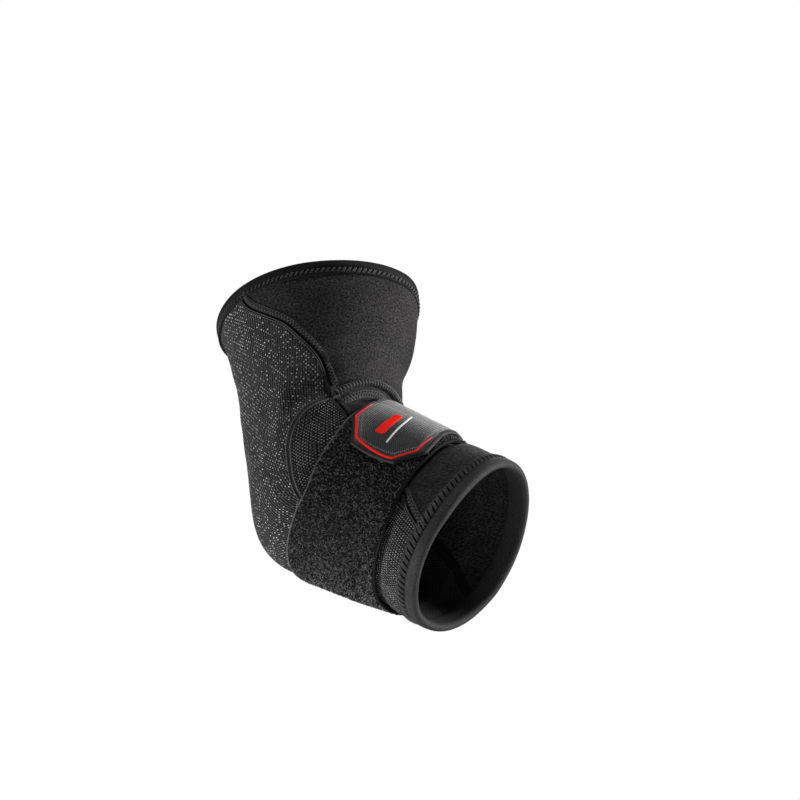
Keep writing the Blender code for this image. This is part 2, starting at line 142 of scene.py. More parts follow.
# Strap edges: share of LENGTH along, for angles off the crook
STRAP_COLUMNS = ("angle", "upper", "lower")
STRAP = (
    (0.0, -0.228, 0.295),
    (15.0, -0.223, 0.293),
    (30.0, -0.190, 0.290),
    (45.0, -0.134, 0.290),
    (56.0, -0.091, 0.290),
    (71.0, -0.029, 0.283),
    (81.0, 0.004, 0.279),
    (90.0, 0.029, 0.279),
    (100.0, 0.048, 0.277),
    (120.0, 0.058, 0.268),
    (150.0, 0.061, 0.250),
    (165.0, 0.060, 0.242),
    (180.0, 0.060, 0.238),
)

# Tab edges: shares of the strap's width, for angles. It starts on the inner side and ends in two chamfers.
TAB_COLUMNS = ("angle", "upper", "lower")
TAB = (
    (-42.0, 0.01, 0.88),
    (-20.0, 0.00, 0.87),
    (0.0, 0.00, 0.87),
    (26.0, 0.00, 0.91),
    (37.0, 0.02, 0.95),
    (48.0, 0.03, 0.98),
    (57.0, 0.04, 0.985),
    (63.5, 0.15, 0.90),
    (69.5, 0.26, 0.82),
)

# Folds of the sleeve: a valley or ridge that follows a line from one angle to another, alike on both sides.
# The third and fourth are a little deeper and higher than on the solids, and the last three creases are here
# alone. Columns: angle and along where it starts, angle and along where it ends, half width, rise
FOLDS = (
    (0.0, -0.246, 62.0, -0.186, 0.017, -0.024),
    (0.0, -0.320, 58.0, -0.262, 0.050, 0.020),
    (60.0, -0.236, 92.0, -0.172, 0.026, -0.026),
    (66.0, -0.290, 104.0, -0.205, 0.034, 0.015),
    (72.0, -0.190, 108.0, -0.112, 0.030, 0.010),
    (96.0, -0.170, 150.0, -0.210, 0.028, -0.008),
    (67.0, -0.236, 86.0, -0.275, 0.011, -0.009),
    (69.0, -0.222, 94.0, -0.240, 0.010, -0.009),
    (64.0, -0.168, 82.0, -0.100, 0.012, -0.009),
)

# Red line of the tab: its corners, as angles and shares of the strap's width
TRIM_COLUMNS = ("angle", "share")
TRIM = (
    (39.0, 0.075),
    (56.0, 0.085),
    (65.8, 0.28),
    (67.6, 0.79),
    (58.5, 0.915),
    (43.0, 0.915),
)

# Small waves of worn cloth. Columns: rise in metres, waves in a LENGTH, swing with the angle and start
RIPPLES = (
    (0.00022, 3.1, 2.3, 0.4),
    (0.00014, 7.3, -3.1, 1.1),
    (0.00008, 13.9, 5.2, 2.6),
)

# Profile of a bound hem: across is a share of its width from panel to lip, height a share of CLOTH
HEM_COLUMNS = ("across", "height")
HEM_PROFILE = (
    (0.00, -0.14),
    (0.03, 0.20),
    (0.10, 0.29),
    (0.17, 0.14),
    (0.30, 0.10),
    (0.42, 0.12),
    (0.50, 0.30),
    (0.70, 0.38),
    (0.88, 0.26),
    (0.97, -0.10),
    (1.00, -0.50),
    (0.97, -0.92),
    (0.88, -1.24),
    (0.60, -1.34),
    (0.20, -1.28),
    (0.01, -1.10),
)

# Flat side seam: offset from its middle towards the crook and height over the cloth, in metres
FLAT_SEAM_COLUMNS = ("offset", "height")
FLAT_SEAM = (
    (3.10e-3, -0.45e-3),
    (2.85e-3, 0.25e-3),
    (2.30e-3, 0.52e-3),
    (1.30e-3, 0.56e-3),
    (0.35e-3, 0.48e-3),
    (-0.15e-3, 0.05e-3),
    (-0.45e-3, -0.35e-3),
    (-0.90e-3, -0.30e-3),
    (-1.20e-3, 0.18e-3),
    (-1.55e-3, 0.46e-3),
    (-1.90e-3, 0.20e-3),
    (-2.20e-3, 0.12e-3),
    (-2.55e-3, 0.34e-3),
    (-2.90e-3, 0.10e-3),
    (-3.15e-3, -0.45e-3),
    (-2.60e-3, -2.85e-3),
    (0.00, -3.05e-3),
    (2.60e-3, -2.85e-3),
)

# Double seam round the elbow, in the same form
DOUBLE_SEAM = (
    (1.95e-3, -0.40e-3),
    (1.75e-3, 0.02e-3),
    (1.35e-3, 0.36e-3),
    (0.95e-3, 0.30e-3),
    (0.60e-3, 0.02e-3),
    (0.00, 0.00),
    (-0.60e-3, 0.02e-3),
    (-0.95e-3, 0.30e-3),
    (-1.35e-3, 0.36e-3),
    (-1.75e-3, 0.02e-3),
    (-1.95e-3, -0.40e-3),
    (-1.80e-3, -2.85e-3),
    (0.00, -3.05e-3),
    (1.80e-3, -2.85e-3),
)

# Roll across the crook: a round cord of cloth
ROLL_RADIUS = 0.00150
ROLL_CENTRE = 0.00075   # height of its middle over the cloth
KNOT = (-0.222, -0.196) # bar of close stitches where the side seam meets the roll, shares of LENGTH

# Stitching
THREAD = 0.00020        # radius of sewing thread
HEM_STITCH = 0.0033     # step of the hems' overlock stitches
FLAT_STITCH = 0.0021    # step of the side seams' zigzag
LINE_STITCH = 0.0018    # step of the running stitches on the seams
WHIP_STITCH = 0.0019    # step of the stitches round the crook's roll
KNOT_STITCH = 0.0008    # step of the stitches of its knots
EDGE_STITCH = 0.0016    # step of the tab's running stitch
OVERLOCK_SLANT = 0.34   # how far an overlock stitch's ends lean ahead and back, share of a step

# Panels dip by EDGE_DIP where they go under a seam, over a width of EDGE_SOFT
EDGE_DIP = 0.0013
EDGE_SOFT = 0.0011
UNDER_ROLL = 0.0016     # how far a panel's end stays low under the crook's roll
HALF_SEAM = SEAM_WIDTH / 2
HALF_DOUBLE = 0.0019    # half width of the double seam round the elbow
TUCK = 0.6              # share of a hem's width that panels stop short of its lip
SWEEP_STEP = 0.0008     # step of the profiles carried along seams and hems

# Edges of the strap's band and of the tab are rounded over these widths
BAND_EDGE = 0.0012
TAB_ROUND = 0.0009
STRAP_STEPS = (36, 260) # steps of the band's grid across and round it
TAB_STEPS = (60, 150)   # steps of the tab's grid across and round it

# Pile of the strap: loops of yarn, in metres
PILE_BED = 0.0010       # depth of the strap's thickness that the loops take up
YARN = 0.00015          # radius of a loop's yarn
LOOP_RADIUS = (0.00030, 0.00052)
LOOP_HEIGHT = (0.0005, 0.0011)
LOOP_LEAN = (-0.0006, 0.0006)
FOOT_ACROSS = 0.7548777 # with FOOT_ROUND, the steps of a sequence that fills a square evenly
FOOT_ROUND = 0.5698403

# Raised parts of the tab, in metres
FIELD_INSET = 0.0046    # where its raised field starts, in from the outline
FIELD_RISE = 0.00030
TRIM_RISE = 0.00032
ACCENT_RISE = 0.00016

# Camera: the photograph's angle to the brace
CAMERA_AZIMUTH = 19.0
CAMERA_ELEVATION = -32.2
CAMERA_DISTANCE = 1.175
CAMERA_TARGET = (0.0468, 0.0, 0.0615)
CAMERA_LENS = 100.0
FLOOR_LEVEL = -0.62
FLOOR_FADE = (0.75, 1.45)   # distances from the middle between which its paint fades out
AMBIENT = 0.03          # strength of the white world's light, which the camera sees in full

MEAN_RADIUS = 0.40 * DEPTH  # of the sleeve's girth, for the weaves' coordinates
RANDOM = np.random.default_rng(20)


def smooth_read(at, places, values, level_ends):
    """Values between table rows: a cubic through them, with the slope of each row's two neighbours."""
    places = np.asarray(places, float)
    values = np.asarray(values, float)
    slopes = np.gradient(values, places)
    if level_ends:
        slopes[[0, -1]] = 0.0
    at = np.clip(at, places[0], places[-1])
    row = np.clip(np.searchsorted(places, at) - 1, 0, len(places) - 2)
    step = places[row + 1] - places[row]
    t = (at - places[row]) / step
    start = values[row] * (1 + 2 * t) * (1 - t) ** 2 + slopes[row] * step * t * (1 - t) ** 2
    end = values[row + 1] * t * t * (3 - 2 * t) + slopes[row + 1] * step * t * t * (t - 1)
    return start + end


def column(rows, columns, name):
    """One named column of a table as an array."""
    return np.array([row[columns.index(name)] for row in rows])


def read(at, rows, columns, by, name):
    """The named column of a table, read smoothly at places of the column by."""
    return smooth_read(at, column(rows, columns, by), column(rows, columns, name), by == "angle")


def ease(t):
    """3 t squared minus 2 t cubed between 0 and 1, level outside."""
    t = np.clip(t, 0, 1)
    return t * t * (3 - 2 * t)


def unit(vectors):
    """Each vector divided by its length."""
    return vectors / np.maximum(np.linalg.norm(vectors, axis=-1, keepdims=True), 1e-12)


def base_point(along, angle):
    """Point of the plain surface: the centreline's point plus a section of two half ellipses.

    The centreline is straight, then an arc through BEND, then straight. The section's reach is front or back
    times the angle's cosine in the bend's plane, and side times its sine across it.
    """
    bend = np.radians(BEND)
    radius = BEND_RADIUS * DEPTH
    half_arc = radius * bend / 2
    turn = np.clip((along + half_arc) / radius, 0, bend)
    past = np.minimum(along + half_arc, 0) + np.maximum(along - half_arc, 0)
    front_x = np.cos(turn)
    front_z = np.sin(turn)
    centre_x = radius * (1 - front_x) + past * front_z
    centre_z = radius * (np.tan(bend / 2) - front_z) - past * front_x
    share = along / LENGTH
    front = read(share, SECTIONS, SECTION_COLUMNS, "along", "front") * DEPTH
    back = read(share, SECTIONS, SECTION_COLUMNS, "along", "back") * DEPTH
    side = read(share, SECTIONS, SECTION_COLUMNS, "along", "side") * DEPTH
    round_way = np.radians(angle)
    reach = np.where(np.cos(round_way) > 0, front, back) * np.cos(round_way)
    x = centre_x + front_x * reach
    z = centre_z + front_z * reach
    return np.stack([x, -side * np.sin(round_way), z], axis=-1)


def slopes_at(along, angle):
    """Change of the surface point per metre along and per degree of angle, and the normal of the two."""
    small_along = LENGTH * 1e-3
    small_angle = 0.1
    down = base_point(along + small_along, angle) - base_point(along - small_along, angle)
    down = down / (2 * small_along)
    across = base_point(along, angle + small_angle) - base_point(along, angle - small_angle)
    across = across / (2 * small_angle)
    return down, across, unit(np.cross(across, down))


def off_crook(angle):
    """Angle off the crook, from 0 to 180 on either side."""
    return np.abs((angle + 180.0) % 360.0 - 180.0)


def strap_edge(angle, name):
    """Where the strap's upper or lower edge runs, in metres along."""
    return read(off_crook(angle), STRAP, STRAP_COLUMNS, "angle", name) * LENGTH


def cloth_rise(along, angle):
    """Rise of the sleeve's cloth off the plain surface.

    Each fold is its rise times exp of minus the square of the distance from its line over its half width,
    faded at both ends. The ripples are sines of the place along plus the angle's sine. The strap presses its
    bed in.
    """
    away = off_crook(angle)
    rise = np.zeros(np.broadcast(along, angle).shape)
    for angle_from, along_from, angle_to, along_to, half_width, height in FOLDS:
        t = (away - angle_from) / (angle_to - angle_from)
        line = (along_from + (along_to - along_from) * t) * LENGTH
        across = (along - line) / (half_width * LENGTH)
        ends = ease(t * 4 + (angle_from == 0.0) * 4 + 0.5) * ease((1 - t) * 3 + 0.5)
        rise = rise + height * DEPTH * np.exp(-across * across) * ends
    turn = np.sin(np.radians(angle))
    for height, waves, swing, start in RIPPLES:
        rise = rise + height * np.sin(2 * np.pi * waves * along / LENGTH + swing * turn + start)
    soft = 0.030 * LENGTH
    inside = ease((along - strap_edge(angle, "upper")) / soft + 1.0)
    inside = inside * ease((strap_edge(angle, "lower") - along) / soft + 1.0)
    return rise * (1 - inside) - STRAP_PINCH * inside


def sleeve_point(along, angle, height):
    """Point at a height over the cloth's outer face: base point plus normal times height and rise."""
    normal = slopes_at(along, angle)[2]
    return base_point(along, angle) + normal * (height + cloth_rise(along, angle))[..., None]


def strap_point(share, angle, height):
    """Point over the strap's bed, at a share of the way from its upper edge to its lower edge.

    Round the back the bed follows the pressed-in cloth. In front it runs straight from edge to edge over the
    crook.
    """
    share = np.broadcast_to(share, np.shape(angle))
    upper = strap_edge(angle, "upper")
    lower = strap_edge(angle, "lower")
    along = upper + (lower - upper) * share
    span = ease((SPAN_END - off_crook(angle)) / (SPAN_END - SPAN_START))[..., None]
    normal = unit(slopes_at(along, angle)[2] * (1 - span) + slopes_at(lower, angle)[2] * span)
    straight = base_point(upper, angle) * (1 - share)[..., None]
    straight = straight + base_point(lower, angle) * share[..., None]
    bed = base_point(along, angle) * (1 - span) + straight * span
    return bed + normal * np.asarray(height - STRAP_PINCH)[..., None]


def strap_place(share, angle, height):
    """Point over the strap's bed and the unit vector straight up from it, read 1 mm higher."""
    point = strap_point(share, angle, height)
    return point, unit(strap_point(share, angle, height + 0.001) - point)


def ways_along(line):
    """The surface's two slopes and normal along a line, and the line's own direction there."""
    down, across, normal = slopes_at(*line)
    way = unit(down * np.gradient(line[0])[:, None] + across * np.gradient(line[1])[:, None])
    return down, across, normal, way


def shifted(line, distance):
    """The line moved sideways on the surface by a real distance, one for all or one for each point.

    A line that runs down the sleeve moves towards the crook, and one that runs across moves down the sleeve.
    The distance along normal x way is solved for along and angle through the surface's two slopes.
    """
    along, angle = line
    down, across, normal, way = ways_along(line)
    aside = np.cross(normal, way) * np.broadcast_to(distance, along.shape)[:, None]
    a = np.sum(down * down, axis=-1)
    b = np.sum(down * across, axis=-1)
    c = np.sum(across * across, axis=-1)
    p = np.sum(down * aside, axis=-1)
    q = np.sum(across * aside, axis=-1)
    bottom = a * c - b * b
    return along + (c * p - b * q) / bottom, angle + (a * q - b * p) / bottom


def crossing(first, second):
    """Places, as fractions of their points, where two lines of the along and angle plane cross."""
    a = np.stack(first, axis=-1) * (1 / LENGTH, 1 / 180.0)
    b = np.stack(second, axis=-1) * (1 / LENGTH, 1 / 180.0)
    da = (a[1:] - a[:-1])[:, None]
    db = (b[1:] - b[:-1])[None]
    gap = b[:-1][None] - a[:-1][:, None]
    bottom = da[..., 0] * db[..., 1] - da[..., 1] * db[..., 0]
    bottom = np.where(np.abs(bottom) < 1e-15, 1e-15, bottom)
    s = (gap[..., 0] * db[..., 1] - gap[..., 1] * db[..., 0]) / bottom
    t = (gap[..., 0] * da[..., 1] - gap[..., 1] * da[..., 0]) / bottom
    miss = np.maximum(np.abs(s - 0.5), np.abs(t - 0.5))
    i, j = np.unravel_index(np.argmin(miss), miss.shape)
    return i + s[i, j], j + t[i, j]


def crowded(count, pull=0.72):
    """Steps from 0 to 1, closer at both ends: s minus pull times the sine of 2 pi s, over 2 pi."""
    s = np.linspace(0, 1, count + 1)
    return s - pull * np.sin(2 * np.pi * s) / (2 * np.pi)


def cut(line, start, end, steps):
    """The line between two places, read at the given shares of the way."""
    places = start + (end - start) * steps
    index = np.arange(len(line[0]))
    return np.interp(places, index, line[0]), np.interp(places, index, line[1])


def cell(top, bottom, left, right, down, across):
    """Grid of the cell that four longer lines enclose, cut where they cross: a Coons patch.

    With u down and v across it, a place is the blend of top and bottom by u, plus that of left and right by
    v, minus that of the four corners by both.
    """
    top_left = crossing(top, left)
    top_right = crossing(top, right)
    low_left = crossing(bottom, left)
    low_right = crossing(bottom, right)
    edges = (
        cut(top, top_left[0], top_right[0], across),
        cut(bottom, low_left[0], low_right[0], across),
        cut(left, top_left[1], low_left[1], down),
        cut(right, top_right[1], low_right[1], down),
    )
    u = ((edges[2][0] - edges[2][0][0]) / (edges[2][0][-1] - edges[2][0][0]))[:, None]
    v = across[None]
    grids = []
    for k in (0, 1):
        high, low = edges[0][k][None], edges[1][k][None]
        near, far = edges[2][k][:, None], edges[3][k][:, None]
        corners = (1 - u) * ((1 - v) * high[:, :1] + v * high[:, -1:])
        corners = corners + u * ((1 - v) * low[:, :1] + v * low[:, -1:])
        grids.append((1 - u) * high + u * low + (1 - v) * near + v * far - corners)
    return grids


def mirrored(line):
    """The same line on the inner side."""
    return line[0], -line[1]


def round_back(line):
    """The inner side's copy of a line, with angles counted on round the back."""
    return line[0], 360.0 - line[1]


def rim_line(rim, inset, first):
    """A rim's line, or one moved down the sleeve from it, once round from the first angle."""
    angle = np.linspace(first, first + 360.0, 721)
    return read(off_crook(angle), RIMS, RIM_COLUMNS, "angle", rim) * LENGTH + inset, angle


def side_line():
    """Middle of the outer side seam, from above the upper rim to below the forearm rim."""
    along = np.linspace(SIDE_SEAM[0][0], SIDE_SEAM[-1][0], 600)
    return along * LENGTH, read(along, SIDE_SEAM, SIDE_SEAM_COLUMNS, "along", "angle")


def crook_line():
    """Middle of the crook seam, across the front from the inner side to the outer side."""
    angle = np.linspace(-CROOK_SEAM[-1][0], CROOK_SEAM[-1][0], 400)
    return read(np.abs(angle), CROOK_SEAM, CROSS_SEAM_COLUMNS, "angle", "along") * LENGTH, angle


def elbow_line():
    """Middle of the elbow seam, round the back from the outer side to the inner side."""
    angle = np.linspace(ELBOW_SEAM[0][0], 360.0 - ELBOW_SEAM[0][0], 800)
    return read(off_crook(angle), ELBOW_SEAM, CROSS_SEAM_COLUMNS, "angle", "along") * LENGTH, angle


def between(line, first, second):
    """The part of a line between its crossings with two others."""
    start = crossing(line, first)[0]
    end = crossing(line, second)[0]
    return cut(line, start, end, np.linspace(0, 1, len(line[0])))


def paced(line, step, whole=1):
    """The line at even steps of real distance, near the wanted one, a multiple of whole steps in all."""
    points = sleeve_point(*line, 0.0)
    run = np.concatenate([[0.0], np.cumsum(np.linalg.norm(np.diff(points, axis=0), axis=-1))])
    count = max(1, round(run[-1] / (step * whole))) * whole
    at = np.linspace(0, run[-1], count + 1)
    return (np.interp(at, run, line[0]), np.interp(at, run, line[1])), at


def fabric_places(along, angle, middle):
    """Cloth coordinates of the sleeve, in metres.

    Round it they count from the middle angle on a circle of its mean girth. Down it they are the real
    distance along the lines of equal angle, read from a coarse grid of such distances.
    """
    rows = np.linspace(-0.64, 0.50, 200) * LENGTH
    columns = np.linspace(0, 360, 91)
    lines = base_point(*np.meshgrid(rows, columns, indexing="ij"))
    run = cloth_run(lines, 0)
    run = run - run[np.searchsorted(rows, -0.3 * LENGTH)]
    row = np.clip((along - rows[0]) / (rows[1] - rows[0]), 0, len(rows) - 1.001)
    col = np.mod(angle, 360.0) / (columns[1] - columns[0])
    i, j = row.astype(int), np.minimum(col.astype(int), len(columns) - 2)
    s, t = row - i, col - j
    down = (1 - s) * ((1 - t) * run[i, j] + t * run[i, j + 1])
    down = down + s * ((1 - t) * run[i + 1, j] + t * run[i + 1, j + 1])
    return np.stack([np.radians(angle - middle) * MEAN_RADIUS, down], axis=-1)


def cloth_run(points, axis):
    """Distance run along the rows or columns of a grid of points, from its first one."""
    steps = np.linalg.norm(np.diff(points, axis=axis), axis=-1)
    zero = np.zeros_like(np.take(steps, [0], axis=axis))
    return np.concatenate([zero, np.cumsum(steps, axis=axis)], axis=axis)


def face_corners(grid, axis):
    """The four corners of each face of a grid, or of many, in their order round it. axis is the row's."""
    rows, cols = grid.shape[axis], grid.shape[axis + 1]
    around = ((0, 0), (0, 1), (1, 1), (1, 0))
    return [
        grid.take(range(row, rows - 1 + row), axis).take(range(col, cols - 1 + col), axis + 1)
        for row, col in around
    ]


class Shape:
    """Points, faces and cloth coordinates of one piece, gathered grid by grid."""

    def __init__(self):
        self.points = []
        self.tones = []
        self.corners = []
        self.sizes = []
        self.places = []
        self.count = 0

    def add_faces(self, corners, places):
        """Faces as rows of point numbers, with the cloth coordinates of each corner."""
        self.corners.append(corners.reshape(-1) + self.count)
        self.sizes.append(np.full(corners.size // corners.shape[-1], corners.shape[-1]))
        self.places.append(places.reshape(-1, 2))

    def grids(self, points, places, ring=False, loop=False, capped=False, tone=0.0):
        """One or many grids of points. ring joins the last column to the first, loop the last row.

        places has one more column than a ring and one more row than a loop. Rows, columns and the faces'
        normals are right-handed.
        """
        many, rows, cols = points.shape[:3]
        index = np.arange(many * rows * cols).reshape(many, rows, cols)
        spread = np.concatenate([index, index[:, :, :1]], axis=2) if ring else index
        spread = np.concatenate([spread, spread[:, :1]], axis=1) if loop else spread
        quads = np.stack(face_corners(spread, 1), axis=-1)
        spots = np.stack(face_corners(places, 1), axis=-2)
        self.add_faces(quads, spots)
        if capped:
            self.add_faces(index[:, 0, ::-1], places[:, 0, :cols][:, ::-1])
            self.add_faces(index[:, -1], places[:, -1, :cols])
        self.points.append(points.reshape(-1, 3))
        self.tones.append(np.broadcast_to(tone, points.shape[:3]).reshape(-1))
        self.count += many * rows * cols

    def shell(self, outer, inner, places, tone=0.0):
        """Closed sheet between two grids, with walls at its edges. The inner side's tone is 0."""
        rows, cols = outer.shape[:2]
        index = np.arange(rows * cols).reshape(rows, cols)
        quads = np.stack(face_corners(index, 0), axis=-1).reshape(-1, 4)
        rim = np.concatenate([index[0, :-1], index[:-1, -1], index[-1, :0:-1], index[:0:-1, 0]])
        ahead = np.roll(rim, -1)
        walls = np.stack([ahead, rim, rim + rows * cols, ahead + rows * cols], axis=-1)
        faces = np.concatenate([quads, quads[:, ::-1] + rows * cols, walls])
        points = np.concatenate([outer.reshape(-1, 3), inner.reshape(-1, 3)])
        a, b, c, d = (points[faces[:, k]] for k in range(4))
        if np.sum(np.cross(a, b) * c) + np.sum(np.cross(a, c) * d) < 0:
            faces = faces[:, ::-1]
        spots = np.concatenate([places.reshape(-1, 2), places.reshape(-1, 2)])
        self.add_faces(faces, spots[faces])
        self.points.append(points)
        over = np.broadcast_to(tone, outer.shape[:2]).reshape(-1)
        self.tones.append(np.concatenate([over, np.zeros(len(over))]))
        self.count += len(points)

    def piece(self, name, material, slot, *nodes):
        """The mesh object, riding on the brace's one body and standing for the named solids."""
        mesh = bpy.data.meshes.new(name)
        points = np.concatenate(self.points)
        corners = np.concatenate(self.corners)
        sizes = np.concatenate(self.sizes)
        mesh.vertices.add(len(points))
        mesh.vertices.foreach_set("co", points.astype(np.float32).ravel())
        mesh.loops.add(len(corners))
        mesh.loops.foreach_set("vertex_index", corners.astype(np.int32))
        mesh.polygons.add(len(sizes))
        mesh.polygons.foreach_set("loop_start", (np.cumsum(sizes) - sizes).astype(np.int32))
        mesh.polygons.foreach_set("use_smooth", np.ones(len(sizes), bool))
        cloth = mesh.uv_layers.new(name="cloth")
        cloth.data.foreach_set("uv", np.concatenate(self.places).astype(np.float32).ravel())
        tone = mesh.attributes.new("tone", "FLOAT", "POINT")
        tone.data.foreach_set("value", np.concatenate(self.tones).astype(np.float32))
        mesh.update(calc_edges=True)
        mesh.materials.append(material)
        piece = bpy.data.objects.new(name, mesh)
        bpy.context.scene.collection.objects.link(piece)
        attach(piece, "root")
        if nodes:
            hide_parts(*nodes)
        return piece


def clear_distance(points, top, bottom):
    """Distance of each grid point from what covers the panel's four edges, the least of them.

    The side seams cover HALF_SEAM beside the first and last columns. top and bottom are the widths that are
    covered beside the first and last rows.
    """
    run = cloth_run(points, 1)
    fall = cloth_run(points, 0)
    left, right = run - HALF_SEAM, run[:, -1:] - run - HALF_SEAM
    return np.min([left, right, fall - top, fall[-1:] - fall - bottom], axis=0)


def panel(name, grid, top, bottom, material, slot, node):
    """Cloth panel of thickness CLOTH whose edges dip under their seams.

    Given back with its flat size: the width of a rectangle of its mean length and its own area, and that
    length.
    """
    along, angle = grid
    flat = sleeve_point(along, angle, 0.0)
    clear = clear_distance(flat, top, bottom)
    dip = EDGE_DIP * (1 - ease(clear / EDGE_SOFT + 1.0))
    outer = sleeve_point(along, angle, -dip)
    inner = sleeve_point(along, angle, -CLOTH)
    shape = Shape()
    shape.shell(outer, inner, fabric_places(along, angle, np.mean(angle)), tone=1.0)
    piece = shape.piece(name, material, slot, node)
    length = float(cloth_run(flat, 0)[-1].mean())
    across = flat[1:, 1:] - flat[:-1, :-1]
    down = flat[1:, :-1] - flat[:-1, 1:]
    area = float(np.linalg.norm(np.cross(across, down), axis=-1).sum() / 2)
    return piece, (area / length, length)


def closed_profile(offsets, heights, count):
    """A closed curve through the profile's points, by a cubic over their running distance, anticlockwise."""
    corners = np.stack([offsets, heights], axis=-1)
    twice = np.sum(offsets * np.roll(heights, -1) - heights * np.roll(offsets, -1))
    corners = corners[::-1] if twice < 0 else corners
    spread = np.concatenate([corners[-3:], corners, corners[:4]])
    run = np.concatenate([[0.0], np.cumsum(np.linalg.norm(np.diff(spread, axis=0), axis=-1))])
    at = np.linspace(run[3], run[-4], count, endpoint=False)
    return smooth_read(at, run, spread[:, 0], False), smooth_read(at, run, spread[:, 1], False)


def swept(shape, line, run, offsets, heights, loop=False, tone=0.0):
    """A closed profile carried along a line on the sleeve.

    Each point is the line's own, moved sideways by its offset and up by its height. tone is one value for the
    whole profile or one for each of its points.
    """
    normal, heading = ways_along(line)[2:]
    if loop:
        heading[[0, -1]] = unit(heading[0] + heading[-1])
    aside = np.cross(normal, heading)
    wide = aside[:, None] * offsets[None, :, None]
    high = normal[:, None] * heights[None, :, None]
    points = sleeve_point(*line, 0.0)[:, None] + wide + high
    around = [[*offsets, offsets[0]], [*heights, heights[0]]]
    girth = np.concatenate([[0.0], np.cumsum(np.hypot(*np.diff(around)))])
    places = np.stack(np.broadcast_arrays(run[:, None], girth[None]), axis=-1)
    if loop:
        points = points[:-1]
    shape.grids(points[None], places[None], ring=True, loop=loop, capped=not loop, tone=tone)


def thread(shape, paths, outward, radius, sides=5, tone=0.0):
    """Round threads: each ring is the path's point plus radius times cos turn outward and sin turn aside."""
    way = np.gradient(paths, axis=1)
    aside = unit(np.cross(way, outward))
    up = unit(np.cross(aside, way))
    turn = np.linspace(0, 2 * np.pi, sides, endpoint=False)
    ring = np.cos(turn)[:, None] * up[:, :, None] + np.sin(turn)[:, None] * aside[:, :, None]
    points = paths[:, :, None] + np.broadcast_to(radius, paths.shape[:2])[..., None, None] * ring
    run = cloth_run(paths, 1)
    girth = np.linspace(0, 2 * np.pi * np.mean(radius), sides + 1)
    places = np.stack(np.broadcast_arrays(run[..., None], girth[None, None]), axis=-1)
    tone = np.broadcast_to(np.asarray(tone, float).reshape(-1, 1, 1), points.shape[:3])
    shape.grids(points, places, ring=True, capped=True, tone=tone)


def zigzag(shape, line, step, middle, swing, height, radius):
    """Zigzag stitch along a line: middle plus swing times a rounded triangle wave, sunk in where it turns."""
    points_in_step = 8
    even, run = paced(line, step / points_in_step, points_in_step)
    phase = np.arange(len(run)) * 2 * np.pi / points_in_step
    wave = np.arcsin(0.94 * np.sin(phase)) / np.arcsin(0.94)
    place = shifted(even, middle + swing * wave)
    lift = height - radius * 1.1 * np.abs(wave) ** 6
    path = sleeve_point(*place, lift)
    thread(shape, path[None], slopes_at(*place)[2][None], radius)


def running(shape, line, step, middle, height, radius, share=0.72):
    """Running stitch along a line: short arches that dive into the cloth between steps."""
    even, run = paced(line, step)
    start = np.arange(len(run) - 1)[:, None]
    places = start + 0.5 + share * np.linspace(-0.5, 0.5, 6)[None]
    index = np.arange(len(run))
    aside = shifted(even, middle)
    along = np.interp(places, index, aside[0])
    angle = np.interp(places, index, aside[1])
    arch = np.cos(np.pi * np.linspace(-0.5, 0.5, 6)) ** 0.6
    path = sleeve_point(along, angle, height + radius * (1.4 * arch - 1.2))
    thread(shape, path, slopes_at(along, angle)[2], radius)


